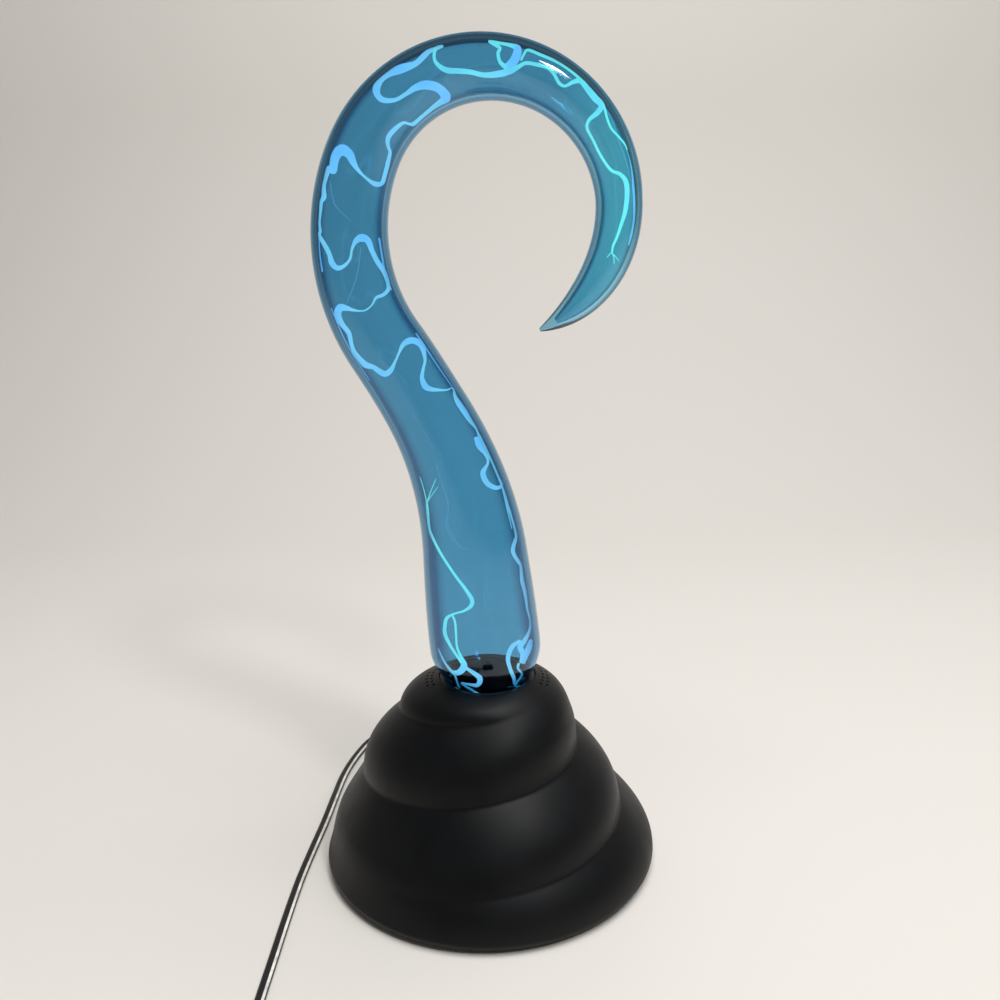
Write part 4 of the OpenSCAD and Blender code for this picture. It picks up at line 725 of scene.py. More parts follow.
class BaseSurface:
    """Outer surface of the spiral base, in millimetres: u is the clockwise turn from +X."""

    def __init__(self, width, height, edge):
        self.radius, self.height, self.edge = width / 2, height, edge
        self.edge_height = BASE_GAP + edge

    def ledge(self, t):
        share = np.maximum(0.0, (t - LEDGE_START) / (LEDGE_END - LEDGE_START))
        end = self.radius - LEDGE_END_INSET
        return (LEDGE_START_RADIUS + (end - LEDGE_START_RADIUS) * share ** LEDGE_RADIUS_POWER,
                LEDGE_START_HEIGHT - (LEDGE_START_HEIGHT - LEDGE_END_HEIGHT) * share ** LEDGE_HEIGHT_POWER)

    @staticmethod
    def tier(a, b, z, power):
        f = np.clip((a[1] - z) / np.maximum(a[1] - b[1], TINY), 0.0, 1.0)
        return a[0] + (b[0] - a[0]) * (1 - (1 - f) ** power)

    def section(self, u, z):
        rim, low = (COLLAR_RADIUS, self.height), (self.radius, self.edge_height)
        a, b, c = self.ledge(u), self.ledge(u + 1), self.ledge(u + 2)
        show_a = smooth_step((u - LEDGE_START) / LEDGE_FADE_IN)
        show_c = 1 - smooth_step((u + 2 - LEDGE_END + LEDGE_FADE_OUT - LEDGE_FADE_PAST) / LEDGE_FADE_OUT)
        dome = self.tier(rim, b, z, DOME_POWER)
        dome_cut = np.where(z >= a[1], self.tier(rim, a, z, DOME_POWER), self.tier(a, b, z, TIER_POWER))
        # Behind the lamp the skirt's bend goes over into that of the lowest tier, where the turn closes.
        bend = SKIRT_POWER + (LOW_POWER - SKIRT_POWER) * smooth_step(2 * u - 1)
        skirt = self.tier(b, low, z, bend)
        skirt_cut = np.where(z >= c[1], self.tier(b, c, z, TIER_POWER), self.tier(c, low, z, LOW_POWER))
        body = np.where(z >= b[1], dome + show_a * (dome_cut - dome), skirt + show_c * (skirt_cut - skirt))
        rounding = np.sqrt(np.maximum(0.0, self.edge ** 2 - (self.edge_height - z) ** 2))
        return np.where(z <= self.edge_height, self.radius - self.edge + rounding, body)

    def points(self, u, z):
        # The mean over a short height rounds each crease with a small fillet.
        reach = np.minimum(CREASE_FILLET, np.minimum(self.height - z, np.maximum(0.0, z - self.edge_height)))
        r = np.mean([self.section(u, z + reach * k) for k in np.linspace(-1, 1, FILLET_SAMPLES)], axis=0)
        shift = SPIRAL_SHIFT * (smooth_step((self.height - z) / SHIFT_REACH_TOP)
                                * smooth_step((z - self.edge_height) / SHIFT_REACH_LOW))
        angle = -2 * math.pi * u
        return np.stack([r * np.cos(angle) + shift, r * np.sin(angle), z], -1)

    def cavity_radius(self, z):
        """Radius of the cavity at a height, which keeps the shell's wall all round."""
        u = np.arange(CAVITY_SAMPLES) / CAVITY_SAMPLES
        p = self.points(u, np.full(CAVITY_SAMPLES, min(self.height, z + SHELL_WALL)))
        return float(np.hypot(p[:, 0], p[:, 1]).min()) - WALL_SHARE * SHELL_WALL


# Glass tube, the same arcs as in the part's source

class GlassTube:
    """Centreline and diameter of the glass, in millimetres: s is measured along it from the heel."""

    def __init__(self):
        self.ends = np.concatenate([[0.0], np.cumsum([a[0] for a in GLASS_ARCS])])
        self.length = self.ends[-1]
        self.nose = self.ends[-2]
        self.diameters = [NECK_DIAMETER] + [a[2] for a in GLASS_ARCS]
        self.samples = []
        for s in np.arange(0.0, self.length - TIP_MARGIN):
            x, z, head = self.place(s)
            self.samples.append((x, z, math.radians(head), self.diameter(s)))

    def place(self, s):
        """x, z and heading in degrees at s."""
        x, z, head = 0.0, HEEL_HEIGHT, 0.0
        for length, turn, _ in GLASS_ARCS:
            run = min(s, length)
            part = turn * run / length
            half = math.radians(part / 2)
            chord = run * math.sin(half) / half if abs(half) > TINY else run
            x -= chord * math.sin(math.radians(head) + half)
            z += chord * math.cos(math.radians(head) + half)
            head += part
            s -= run
            if s <= 0:
                break
        return x, z, head

    def slope(self, i):
        """Rate of change of the diameter at the end of arc i."""
        if i <= 0:
            return 0.0
        if i >= len(GLASS_ARCS) - 2:
            return END_SLOPE
        return (self.diameters[i + 2] - self.diameters[i]) / (self.ends[i + 2] - self.ends[i])

    def diameter(self, s):
        d = self.diameters
        if s <= self.ends[1]:
            return d[0] + (d[1] - d[0]) * (1 - (1 - max(0.0, s) / self.ends[1]) ** 2)
        if s >= self.nose:
            return d[-1] + (d[-2] - d[-1]) * (1 - ((s - self.nose) / (self.length - self.nose)) ** NOSE_POWER)
        i = int(np.searchsorted(self.ends, s)) - 1
        span = self.ends[i + 1] - self.ends[i]
        f = (s - self.ends[i]) / span
        before, after = self.slope(i - 1) * span, self.slope(i) * span
        return (d[i] * (1 + 2 * f) * (1 - f) ** 2 + d[i + 1] * f * f * (3 - 2 * f)
                + before * f * (1 - f) ** 2 - after * f * f * (1 - f))

    def rings(self, inset, end, step, sides):
        """Rings of points in metres, drawn in by the inset, from the closed neck to the end."""
        angle = round_angles(sides)
        rings = []
        neck = NECK_DIAMETER / 2 - inset
        for a in np.radians(np.linspace(90, 0, NECK_RINGS)):
            rings.append((0.0, GLASS_BOTTOM + inset + NECK_ROUND * (1 - math.sin(a)), 0.0,
                          neck - NECK_ROUND * (1 - math.cos(a))))
        rings.append((0.0, HEEL_HEIGHT - NECK_STOP, 0.0, neck))
        for s in np.linspace(0.0, end, int(end / step)):
            x, z, head = self.place(s)
            rings.append((x, z, math.radians(head), max(LEAST_RADIUS, self.diameter(s) / 2 - inset)))
        points = [
            np.stack([x + r * np.cos(angle) * math.cos(h), r * np.sin(angle),
                      z + r * np.cos(angle) * math.sin(h)], -1)
            for x, z, h, r in rings
        ]
        return np.array(points) * MM

    def inside(self, pixel, wall, width):
        """A point in metres at the front of the bore, on the ray through a pixel as the glass bends it."""
        eye, ray = np.array(CAMERA_PLACE), pixel_ray(pixel)
        at = eye - ray * eye[1] / ray[1]
        for _ in range(BEND_ROUNDS):
            x, z, head, diameter = min(self.samples, key=lambda p: (p[0] - at[0]) ** 2 + (p[1] - at[2]) ** 2)
            bar = np.array((x, 0.0, z)), np.array((-math.sin(head), 0.0, math.cos(head)))
            bore = diameter / 2 - wall
            point, way = eye, ray / np.linalg.norm(ray)
            for radius, ratio in ((diameter / 2, 1 / GLASS_IOR), (bore, GLASS_IOR)):
                point, normal = self.meet(point, way, *bar, radius)
                facing = -(normal @ way)
                bent = math.sqrt(max(0.0, 1 - ratio ** 2 * (1 - facing ** 2)))
                way = ratio * way + (ratio * facing - bent) * normal
            at = self.meet(point, way, *bar, STRAND_REACH * bore - width / 2)[0]
        return at * MM

    @staticmethod
    def meet(point, way, centre, axis, radius):
        """Where a line first meets a round bar, or comes nearest if it passes by, and the normal there."""
        across, run = (v - axis * (v @ axis) for v in (point - centre, way))
        a, b, c = run @ run, across @ run, across @ across - radius ** 2
        t = (-b - math.sqrt(max(0.0, b * b - a * c))) / a
        normal = across + run * t
        far = np.linalg.norm(normal)
        normal /= far
        return point + way * t + normal * (radius - far), normal


# Lead

def coil_path():
    """Points of the coil in metres: in along the lower layer, up, and out along the upper one."""
    start = np.array(LEAD_POINTS[-1])
    width = bpy.context.scene.lamp_lead.width
    centre = start[:2] + (COIL_RADIUS, -width)
    inner = COIL_RADIUS - COIL_STEP * COIL_TURNS
    total = 2 * COIL_TURNS + COIL_CLIMB
    t = np.arange(int(round(total * COIL_SAMPLES)) + 1) / COIL_SAMPLES
    climbing = (t - COIL_TURNS) / COIL_CLIMB
    radius = np.where(t <= COIL_TURNS, COIL_RADIUS - COIL_STEP * t,
                      np.where(climbing >= 1, inner + COIL_STEP * (t - COIL_TURNS - COIL_CLIMB),
                               inner - COIL_STEP / 2 * np.sin(np.pi * np.clip(climbing, 0, 1))))
    angle = np.pi + 2 * np.pi * t
    height = start[2] + COIL_RISE * smooth_step(climbing)
    turns = np.stack([centre[0] + radius * np.cos(angle), centre[1] + radius * np.sin(angle), height], -1)
    tail = np.array((centre[0] + width, centre[1] - COIL_RADIUS, start[2] + COIL_RISE))
    return turns, tail


def lead_path():
    """The whole path of the lead and how far it is twisted from flat at each point, in radians."""
    run = through(LEAD_POINTS, LEAD_SAMPLE)
    turns, tail = coil_path()
    tail_points = through([tail + (x, 0.0, z) for x, z in TAIL_STEPS], LEAD_SAMPLE)
    flat_end = np.array(LEAD_POINTS[LEAD_FLAT_POINTS - 1])
    edge_start = np.array(LEAD_POINTS[-2])
    twist = smooth_step((flat_end[1] - run[:, 1]) / (flat_end[1] - edge_start[1])) * math.pi / 2
    twist[run[:, 1] > flat_end[1]] = 0.0
    path = np.vstack([run, turns, tail_points])
    twists = np.concatenate([twist, np.full(len(turns) + len(tail_points), math.pi / 2)])
    keep = np.concatenate([[True], np.linalg.norm(np.diff(path, axis=0), axis=1) > SAME_POINT])
    return path[keep], twists[keep]


def twin_section(width, thickness):
    """Outline of a flat twin lead as rows of (across, up): one lobe, then the other."""
    r = thickness / 2
    centre = width / 2 - r
    angles = np.radians(np.linspace(-LOBE_TURN, LOBE_TURN, LOBE_POINTS))
    lobe = np.array([(centre + r * math.cos(a), r * math.sin(a)) for a in angles])
    return np.concatenate([lobe, -lobe])


# Operators

class LAMP_OT_stage(bpy.types.Operator):
    """Camera, floor with backdrop, and soft studio light"""
    bl_idname = "plasma_lamp.stage"
    bl_label = "Stage"

    def execute(self, context):
        settings = context.scene.lamp_stage
        right, up, forward = camera_axes()
        camera = bpy.data.objects.new("camera", bpy.data.cameras.new("camera"))
        camera.data.sensor_width = SENSOR_MM
        camera.data.lens = SENSOR_MM * FOCAL_PIXELS / IMAGE_SIDE
        camera.data.clip_start = CLIP_START
        turn = Matrix((right, up, -forward)).transposed()
        camera.matrix_world = Matrix.Translation(Vector(CAMERA_PLACE) * MM) @ turn.to_4x4()
        context.scene.collection.objects.link(camera)
        context.scene.camera = camera

        bend = np.radians(np.linspace(0, 90, BEND_RINGS + 1))[1:]
        profile = [(-FLOOR_HALF, 0.0), (BEND_START, 0.0)]
        profile += [(BEND_START + BEND_RADIUS * math.sin(a), BEND_RADIUS - BEND_RADIUS * math.cos(a))
                    for a in bend]
        profile += [(BEND_START + BEND_RADIUS, BACKDROP_TOP)]
        points = [(x, y, z) for y, z in profile for x in (-FLOOR_HALF, FLOOR_HALF)]
        faces = [(2 * i, 2 * i + 1, 2 * i + 3, 2 * i + 2) for i in range(len(profile) - 1)]
        board = painted_board(settings.floor_colour)
        mesh_piece("floor", points, faces, [board], SOFT_SHARP, body=None)

        world = bpy.data.worlds.new("soft_sky")
        world.use_nodes = True
        background = world.node_tree.nodes["Background"]
        background.inputs["Color"].default_value = (*linear(SKY_COLOUR), 1.0)
        background.inputs["Strength"].default_value = settings.sky_strength
        context.scene.world = world
        context.scene.view_settings.view_transform = "Standard"

        for name, power, place, size, mirrored in LIGHTS:
            light = bpy.data.lights.new(name, "AREA")
            light.size = size
            light.energy = getattr(settings, power)
            lamp = bpy.data.objects.new(name, light)
            lamp.visible_glossy = mirrored
            lamp.visible_transmission = mirrored
            lamp.location = place
            lamp.rotation_euler = (Vector(LIGHT_AIM) - Vector(place)).to_track_quat("-Z", "Y").to_euler()
            context.scene.collection.objects.link(lamp)
        return {"FINISHED"}


class LAMP_OT_adapter(bpy.types.Operator):
    """Wall adapter in two moulded halves"""
    bl_idname = "plasma_lamp.adapter"
    bl_label = "Adapter"

    def execute(self, context):
        case_abs = moulded_abs("textured_moulded_abs", linear("#1D1E20"), roughness=0.55, grain_mm=0.9)
        lower = self.make_half("adapter_lower", "adapter_case", CASE_ROUND, CASE_SEAM, case_abs)
        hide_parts("adapter_case")
        low, high = node_box("adapter_case")
        sides = (("front", low.y, low.y + CASE_RIB_DEPTH), ("back", high.y - CASE_RIB_DEPTH, high.y))
        for k in range(CASE_RIBS):
            x = low.x + CASE_RIB_FIRST + CASE_RIB_STEP * k
            for side, near, far in sides:
                boxed(f"grip_rib_{k + 1}_{side}", (x - CASE_RIB_HALF, near, CASE_RIB_LOW),
                      (x + CASE_RIB_HALF, far, CASE_RIB_HIGH), CASE_RIB_BEVEL, case_abs, ROOT_BODY)
        upper = self.make_half("adapter_upper", "adapter_cover", CASE_SEAM, CASE_ROUND, case_abs)
        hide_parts("adapter_cover")
        return {"FINISHED"}

    def make_half(self, name, node, below, above, material):
        """One half of the case, with the given rounding at its lower and its upper face."""
        low, high = node_box(node)
        levels = [(low.z + rise, inset) for rise, inset in below]
        levels += [(high.z - drop, inset) for drop, inset in reversed(above)]
        points = [(x, y, z) for z, inset in levels for x, y in self.outline(low, high, inset)]
        faces = ring_faces(len(levels), len(points) // len(levels))
        return mesh_piece(name, points, faces, [material], TURNED_SHARP)

    @staticmethod
    def outline(low, high, inset):
        """A rectangle with round corners, drawn in by the inset."""
        corner = CASE_CORNER - inset
        out = []
        for sx, sy, start in ((1, 1, 0), (-1, 1, 90), (-1, -1, 180), (1, -1, 270)):
            cx = (high.x - inset - corner) if sx > 0 else (low.x + inset + corner)
            cy = (high.y - inset - corner) if sy > 0 else (low.y + inset + corner)
            for a in np.radians(np.linspace(start, start + 90, CORNER_POINTS)):
                out.append((cx + corner * math.cos(a), cy + corner * math.sin(a)))
        return out


class LAMP_OT_lead(bpy.types.Operator):
    """Flat twin lead with a tracer stripe, its coil, plug, strain reliefs and tie"""
    bl_idname = "plasma_lamp.lead"
    bl_label = "Lead"

    def execute(self, context):
        settings = context.scene.lamp_lead
        jacket = extruded_sleeve("black_pvc_jacket", settings.colour)
        stripe = extruded_sleeve("white_pvc_stripe", settings.stripe, roughness=0.5)
        # Nickel plate on brass: warm, bright and smooth.
        nickel = worked_surface("nickel_plated_brass", linear("#C9C4B8"), 0.25, metallic=1.0)
        path, twists = lead_path()
        section = twin_section(settings.width, settings.thickness)
        lead = self.make_lead(path, twists, section, [jacket, stripe])
        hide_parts("lead_run", "lead_coil", "lead_tail")

        plug_low, plug_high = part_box("dc_plug")
        relief_low, relief_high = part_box("plug_strain_relief")
        x, z = (relief_low[0] + relief_high[0]) / 2, (relief_low[2] + relief_high[2]) / 2
        radius = (plug_high[0] - plug_low[0]) / 2
        profile = [(AXIS_RADIUS, 0.0), (radius - PLUG_CHAMFER, 0.0), (radius, PLUG_CHAMFER)]
        profile += [(radius * GRIP_GROOVE if k % 2 else radius, GRIP_START + GRIP_STEP * k)
                    for k in range(GRIP_RINGS)]
        profile += [(radius, PLUG_LENGTH - PLUG_SHOULDER[1]), (radius - PLUG_SHOULDER[0], PLUG_LENGTH),
                    (AXIS_RADIUS, PLUG_LENGTH)]
        plug = turned("plug_body", profile, (x, relief_low[1] - PLUG_LENGTH, z), BACKWARD, jacket)
        profile = [(AXIS_RADIUS, 0.0), (BARREL_RADIUS - BARREL_CHAMFER[0], 0.0),
                   (BARREL_RADIUS, BARREL_CHAMFER[1]), (BARREL_RADIUS, BARREL_LENGTH)]
        barrel = turned("plug_barrel", profile, (x, plug_low[1], z), BACKWARD, nickel,
                        BARREL_SIDES)
        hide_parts("dc_plug")

        adapter_low, adapter_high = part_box("adapter_strain_relief")
        middle = (adapter_low[1] + adapter_high[1]) / 2, (adapter_low[2] + adapter_high[2]) / 2
        # Strain reliefs: piece, node, foot, direction, widest and narrowest radius, and length.
        ends = (
            ("plug_relief", "plug_strain_relief", (x, relief_low[1], z), BACKWARD, 0.0044, 0.0029, 0.020),
            ("adapter_relief", "adapter_strain_relief", (adapter_high[0], *middle), LEFTWARD,
             0.0055, 0.0029, 0.022),
        )
        for name, node, foot, direction, wide, narrow, length in ends:
            profile = self.relief_profile(wide, narrow, length)
            relief = turned(name, profile, foot, direction, jacket)
            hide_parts(node)

        tie = self.make_tie(*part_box("coil_tie"))
        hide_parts("coil_tie")
        return {"FINISHED"}

    @staticmethod
    def make_lead(path, twists, section, materials):
        """The lead's section swept along its path, turned by the twist at each point."""
        tangent = unit(np.gradient(path, axis=0))
        flat = unit(np.cross(tangent, (0.0, 0.0, 1.0)))
        up = np.cross(flat, tangent)
        across = flat * np.cos(twists)[:, None] + up * np.sin(twists)[:, None]
        over = np.cross(across, tangent)
        rings = (path[:, None, :] + across[:, None, :] * section[None, :, :1]
                 + over[:, None, :] * section[None, :, 1:])
        faces = ring_faces(len(path), len(section))
        lead = mesh_piece("twin_lead", rings.reshape(-1, 3), faces, materials, SOFT_SHARP)
        # The last two faces are the caps.
        striped = [int(k % len(section) in STRIPED_SIDES) for k in range(len(faces) - 2)] + [0, 0]
        lead.data.polygons.foreach_set("material_index", striped)
        return lead

    @staticmethod
    def relief_profile(wide, narrow, length):
        """Profile of a tapered strain relief with a groove behind each rib."""
        profile = [(AXIS_RADIUS, 0.0), (wide, 0.0)]
        for k in range(RELIEF_RIBS):
            start = length * (RIBS_FROM + RIBS_SPAN * k / RELIEF_RIBS)
            end = start + length * RIBS_SPAN / RELIEF_RIBS
            first, last = (wide + (narrow - wide) * y / length for y in (start, end))
            profile += [(first, start), (first - RIB_DRAFT, start + RIB_TOP * (end - start)),
                        (last - GROOVE_DEPTH, start + RIB_FOOT * (end - start)),
                        (last - GROOVE_DEPTH, end - RIB_DRAFT)]
        profile += [(narrow, length * RELIEF_LIP), (narrow - LIP_CHAMFER, length), (AXIS_RADIUS, length)]
        return profile

    @staticmethod
    def make_tie(low, high):
        """A hook-and-loop strap: a rounded band round the bundle of turns."""
        # Woven nylon strap: matt, with a fine pile, drawn coarse enough to show.
        strap = worked_surface("woven_nylon_strap", linear("#232325"), 0.85, grain_mm=0.9, strength=0.5)
        turns, _ = coil_path()
        centre = turns[:, :2].mean(axis=0)
        middle = np.array(((low[0] + high[0]) / 2, (low[1] + high[1]) / 2))
        outward = (middle - centre) / np.linalg.norm(middle - centre)
        along = np.array((-outward[1], outward[0]))
        level, half_high = (low[2] + high[2]) / 2, (high[2] - low[2]) / 2
        loop = [[math.copysign(abs(v) ** TIE_SQUARE, v) for v in (math.cos(a), math.sin(a))]
                for a in round_angles(TIE_SIDES)]
        points = []
        for inset, edge in ((0.0, -1.0), (0.0, 1.0), (TIE_THICK, 1.0), (TIE_THICK, -1.0)):
            for c, s in loop:
                flat = middle + outward * c * (TIE_HALF - inset) + along * edge * TIE_WIDTH / 2
                points.append((*flat, level + s * (half_high - inset)))
        faces = ring_faces(4, TIE_SIDES, closed=True)
        return mesh_piece("lead_tie", points, faces, [strap])


class LAMP_OT_base(bpy.types.Operator):
    """Spiral base shell with its vents and rear window, and the collar"""
    bl_idname = "plasma_lamp.base"
    bl_label = "Base"

    def execute(self, context):
        settings = context.scene.lamp_base
        shell = self.make_shell(settings)
        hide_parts("base_shell")
        collar = self.make_collar()
        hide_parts("collar_ring")
        # The sheen light reaches the base alone, so that it leaves no wide glare on the glass.
        lit = bpy.data.collections.new("sheen_receivers")
        for piece in (shell, collar):
            lit.objects.link(piece)
        bpy.data.objects[SHEEN_LIGHT].light_linking.receiver_collection = lit
        return {"FINISHED"}

    def make_shell(self, settings):
        """The spiral shell, with its cavity, collar hole, rear window and vents cut out."""
        surface = BaseSurface(settings.width / MM, settings.height / MM, settings.edge / MM)
        shell_abs = moulded_abs("satin_moulded_abs", settings.colour, roughness=0.45, grain_mm=0.7,
                                sheen_level=0.2)
        columns = settings.columns
        low = surface.edge_height - surface.edge * np.cos(np.linspace(0, math.pi / 2, EDGE_RINGS + 1))[:-1]
        levels = np.concatenate([low, np.linspace(surface.edge_height, surface.height, settings.rows)])
        grid = surface.points(*np.broadcast_arrays(1 - np.arange(columns) / columns, levels[:, None]))
        shell = mesh_piece("spiral_shell", grid.reshape(-1, 3) * MM, ring_faces(len(levels), columns),
                           [shell_abs], CUT_SHARP)
        top = surface.height - 2 * SHELL_WALL
        outline = [(PLATE_RADIUS + PLATE_ROOM, z) for z in (BASE_GAP - CUT_PAST, PLATE_TOP)]
        taper = np.linspace(PLATE_TOP + CAVITY_START, top, CAVITY_LEVELS)
        outline += [(surface.cavity_radius(z), z) for z in taper]
        hole = [(COLLAR_RADIUS + COLLAR_ROOM, z) for z in (top - CUT_PAST, surface.height + HOLE_PAST)]
        (x0, y0, z0), (x1, y1, z1) = WINDOW
        corners = [(x, y, z) for x in (x0, x1) for y in (y0, y1) for z in (z0, z1)]
        sides = [(0, 1, 3, 2), (4, 6, 7, 5), (0, 4, 5, 1), (2, 3, 7, 6), (0, 2, 6, 4), (1, 5, 7, 3)]
        cut(shell, [
            cutter("cavity", *lathe(outline, CUT_SIDES)),
            cutter("collar_hole", *lathe(hole, CUT_SIDES)),
            cutter("window", corners, sides),
            cutter("vents", *self.vents()),
        ])
        return shell

    @staticmethod
    def vents():
        """Points and faces of the round vents, in rows on both sides of the collar."""
        points, faces = [], []
        for side in (0.0, 180.0):
            for radius, count in VENT_ROWS:
                for k in range(count):
                    angle = math.radians(side + (k - (count - 1) / 2) * VENT_STEP)
                    vent, quads = lathe([(VENT_RADIUS, VENT_LOW), (VENT_RADIUS, VENT_HIGH)], VENT_SIDES)
                    faces += shifted(quads, len(points))
                    points += [(x + radius * math.cos(angle), y + radius * math.sin(angle), z)
                               for x, y, z in vent]
        return points, faces

    @staticmethod
    def make_collar():
        """The ring round the neck of the glass, with both upper edges rounded."""
        collar_abs = moulded_abs("gloss_moulded_abs", linear("#0A0B0E"), roughness=0.35, grain_mm=0.5,
                                 sheen_level=0.25)
        edge, top = COLLAR_EDGE, COLLAR_TOP - COLLAR_EDGE
        bend = np.radians(np.linspace(0, 90, COLLAR_BEND_POINTS))
        profile = [(COLLAR_BORE, SOCKET_TOP), (COLLAR_RADIUS, SOCKET_TOP)]
        profile += [(COLLAR_RADIUS - edge + edge * math.cos(a), top + edge * math.sin(a)) for a in bend]
        profile += [(COLLAR_BORE + edge - edge * math.sin(a), top + edge * math.cos(a)) for a in bend]
        points, faces = lathe(profile, COLLAR_SIDES, closed=True)
        return mesh_piece("collar", np.array(points) * MM, faces, [collar_abs], CUT_SHARP)


class LAMP_OT_glass(bpy.types.Operator):
    """Hollow tinted glass hook"""
    bl_idname = "plasma_lamp.glass"
    bl_label = "Glass"

    def execute(self, context):
        settings = context.scene.lamp_glass
        tube = GlassTube()
        step, wall, sides = settings.ring_step / MM, settings.wall / MM, settings.sides
        outer = tube.rings(0.0, tube.length, step, sides)
        inner = tube.rings(wall, tube.length - TIP_SOLID, step, sides)
        faces = ring_faces(len(outer), sides)
        faces += [face[::-1] for face in shifted(ring_faces(len(inner), sides), len(outer) * sides)]
        points = np.concatenate([outer.reshape(-1, 3), inner.reshape(-1, 3)])
        stain = tinted_borosilicate(settings.tint, settings.tip_tint, settings.rim_stain_and_shade)
        glass = mesh_piece("glass_hook", points, faces, [stain], SOFT_SHARP)
        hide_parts("glass_tube")
        return {"FINISHED"}


class LAMP_OT_discharge(bpy.types.Operator):
    """Glowing strands inside the glass, and painted reflections of them along its edges"""
    bl_idname = "plasma_lamp.discharge"
    bl_label = "Discharge"

    def execute(self, context):
        settings = context.scene.lamp_discharge
        wall = context.scene.lamp_glass.wall / MM
        tube = GlassTube()
        groups = (
            ("teal_strands", TEAL_STRANDS, settings.teal, 1.0),
            ("blue_strands", BLUE_STRANDS, settings.blue, 1.0),
            # Painted reflections of the strands, drawn as glowing strands along the edges of the glass.
            ("edge_gleams", PAINTED_EDGE_REFLECTIONS, settings.violet, PAINTED_REFLECTION_SHARE),
            ("faint_wisps", FAINT_WISPS, settings.violet, WISP_SHARE),
        )
        for name, strands, colour, share in groups:
            gas = glowing_gas(f"{name}_gas", colour, settings.violet, settings.strength, share)
            points, faces, widths = self.strand_mesh(tube, wall, strands)
            piece = mesh_piece(name, points, faces, [gas], STRAND_SHARP)
            piece.data.attributes.new("strand_width", "FLOAT", "POINT").data.foreach_set("value", widths)
        return {"FINISHED"}

    @staticmethod
    def strand_mesh(tube, wall, strands):
        """Points and faces of all the strands of a group, and the width in millimetres at each point."""
        points, faces, widths = [], [], []
        for strand in strands:
            path = through([(*tube.inside((x, y), wall, w), w * MM) for x, y, w in strand], STRAND_STEP)
            made, quads = sweep(path[:, :3], np.maximum(path[:, 3] - STRAND_GLOW, path[:, 3] / 2) / 2)
            faces += shifted(quads, len(points))
            points += made.tolist()
            widths += np.repeat(path[:, 3] / MM, STRAND_SIDES).tolist()
        return points, faces, widths


class LAMP_OT_controls(bpy.types.Operator):
    """Knob and switch slider of the rear panel"""
    bl_idname = "plasma_lamp.controls"
    bl_label = "Rear controls"

    def execute(self, context):
        # Soft-touch moulded knob: satin, fluted for grip, with a white inlaid pointer.
        knob_abs = moulded_abs("satin_knob_abs", linear("#1B1C1E"), roughness=0.5, grain_mm=0.5)
        low, high = node_box("sensitivity_knob")
        middle = (low + high) / 2
        radius, length = (high.x - low.x) / 2, high.y - low.y
        profile = [(KNOB_BORE, 0.0), (radius - KNOB_FOOT, 0.0), (radius, KNOB_FOOT),
                   (radius, length - KNOB_RIM), (radius - KNOB_RIM, length),
                   (AXIS_RADIUS, length - KNOB_DISH)]
        knob = turned("fluted_knob", profile, (middle.x, low.y, middle.z), BACKWARD, knob_abs,
                      KNOB_SIDES, "knob", KNOB_FLUTES, FLUTE_DEPTH)
        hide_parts("sensitivity_knob")
        # White paint in a moulded groove: matt, with a soft edge.
        white = worked_surface("white_inlay_paint", linear("#D8D8D4"), 0.5, strength=0.05)
        boxed("knob_pointer", (middle.x - POINTER_HALF, high.y - POINTER_DEPTH, middle.z + POINTER_FROM),
              (middle.x + POINTER_HALF, high.y, middle.z + radius - POINTER_RIM), POINTER_BEVEL, white,
              "knob")

        # Moulded acetal: off-white, smooth and a little waxy.
        acetal = worked_surface("moulded_acetal", linear("#C9C8C2"), 0.4, grain_mm=1.5, strength=0.08)
        low, high = node_box("switch_slider")
        middle = (low + high) / 2
        half = (high.x - low.x) / 2 - FINGER_INSET
        slider = boxed("ridged_slider", (middle.x - half, low.y, middle.z - FINGER_HALF),
                       (middle.x + half, high.y - FINGER_DROP, middle.z + FINGER_HALF), FINGER_BEVEL,
                       acetal, "slider")
        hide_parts("switch_slider")
        for k in (1, 2, 3):
            x = middle.x + (k - 2) * RIDGE_STEP
            boxed(f"slider_ridge_{k}", (x - RIDGE_HALF, high.y - RIDGE_DEPTH, middle.z - RIDGE_REACH),
                  (x + RIDGE_HALF, high.y, middle.z + RIDGE_REACH), RIDGE_BEVEL, acetal, "slider")
        boxed("slider_foot", low, (high.x, low.y + FOOT_THICK, high.z), FOOT_BEVEL, acetal, "slider")
        return {"FINISHED"}


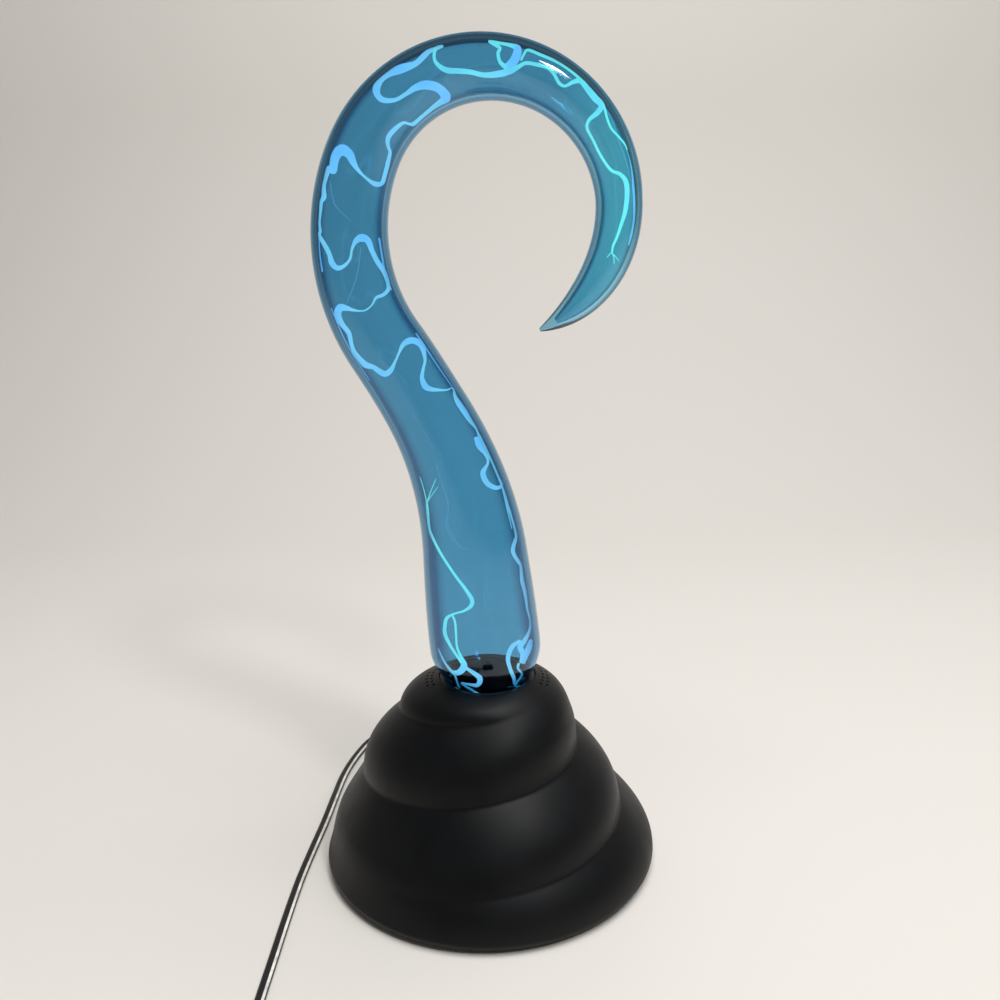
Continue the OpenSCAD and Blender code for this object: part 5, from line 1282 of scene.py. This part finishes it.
class LAMP_OT_finishes(bpy.types.Operator):
    """Materials of the solids that keep their own shape"""
    bl_idname = "plasma_lamp.finishes"
    bl_label = "Finishes"

    def execute(self, context):
        black = moulded_abs("moulded_abs_fittings", linear("#1A1B1E"), roughness=0.5, grain_mm=0.8)
        navy = moulded_abs("navy_moulded_abs", linear("#1F3E74"), roughness=0.5, grain_mm=0.8)
        looks = [
            (black, ("base_plate", "control_panel", "dc_jack")),
            (navy, ("socket_cup",)),
            (extruded_sleeve("red_silicone_sleeve", linear("#B0281E"), roughness=0.5), ("hv_lead",)),
            (extruded_sleeve("red_pvc_sleeve", linear("#A8241C")), ("jack_wires",)),
            (wound_wire("enamelled_copper_wire", linear("#B5652E"), wire_mm=0.6), ("hv_winding",)),
        ]
        for name, colour, *values, nodes in FINISHES:
            looks.append((worked_surface(name, linear(colour), *values), nodes))
        for material, nodes in looks:
            for node in nodes:
                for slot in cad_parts[node].material_slots:
                    slot.material = material
        return {"FINISHED"}


class LAMP_PT_sidebar(bpy.types.Panel):
    """Lists the steps that build the lamp"""
    bl_label = "Plasma lamp"
    bl_space_type = "VIEW_3D"
    bl_region_type = "UI"
    bl_category = "Plasma lamp"

    def draw(self, context):
        for step in STEPS:
            self.layout.operator(step.bl_idname)


STEPS = (
    LAMP_OT_stage,
    LAMP_OT_adapter,
    LAMP_OT_lead,
    LAMP_OT_base,
    LAMP_OT_glass,
    LAMP_OT_discharge,
    LAMP_OT_controls,
    LAMP_OT_finishes,
)
SETTINGS = {
    "lamp_stage": LampStageSettings,
    "lamp_base": LampBaseSettings,
    "lamp_glass": LampGlassSettings,
    "lamp_discharge": LampDischargeSettings,
    "lamp_lead": LampLeadSettings,
}


def register():
    for cls in (*SETTINGS.values(), *STEPS, LAMP_PT_sidebar):
        bpy.utils.register_class(cls)
    for name, cls in SETTINGS.items():
        setattr(bpy.types.Scene, name, PointerProperty(type=cls))


def unregister():
    for name in SETTINGS:
        delattr(bpy.types.Scene, name)
    for cls in reversed((*SETTINGS.values(), *STEPS, LAMP_PT_sidebar)):
        bpy.utils.unregister_class(cls)


def main():
    register()
    for step in STEPS:
        group, action = step.bl_idname.split(".")
        getattr(getattr(bpy.ops, group), action)()


if __name__ == "__main__":
    main()
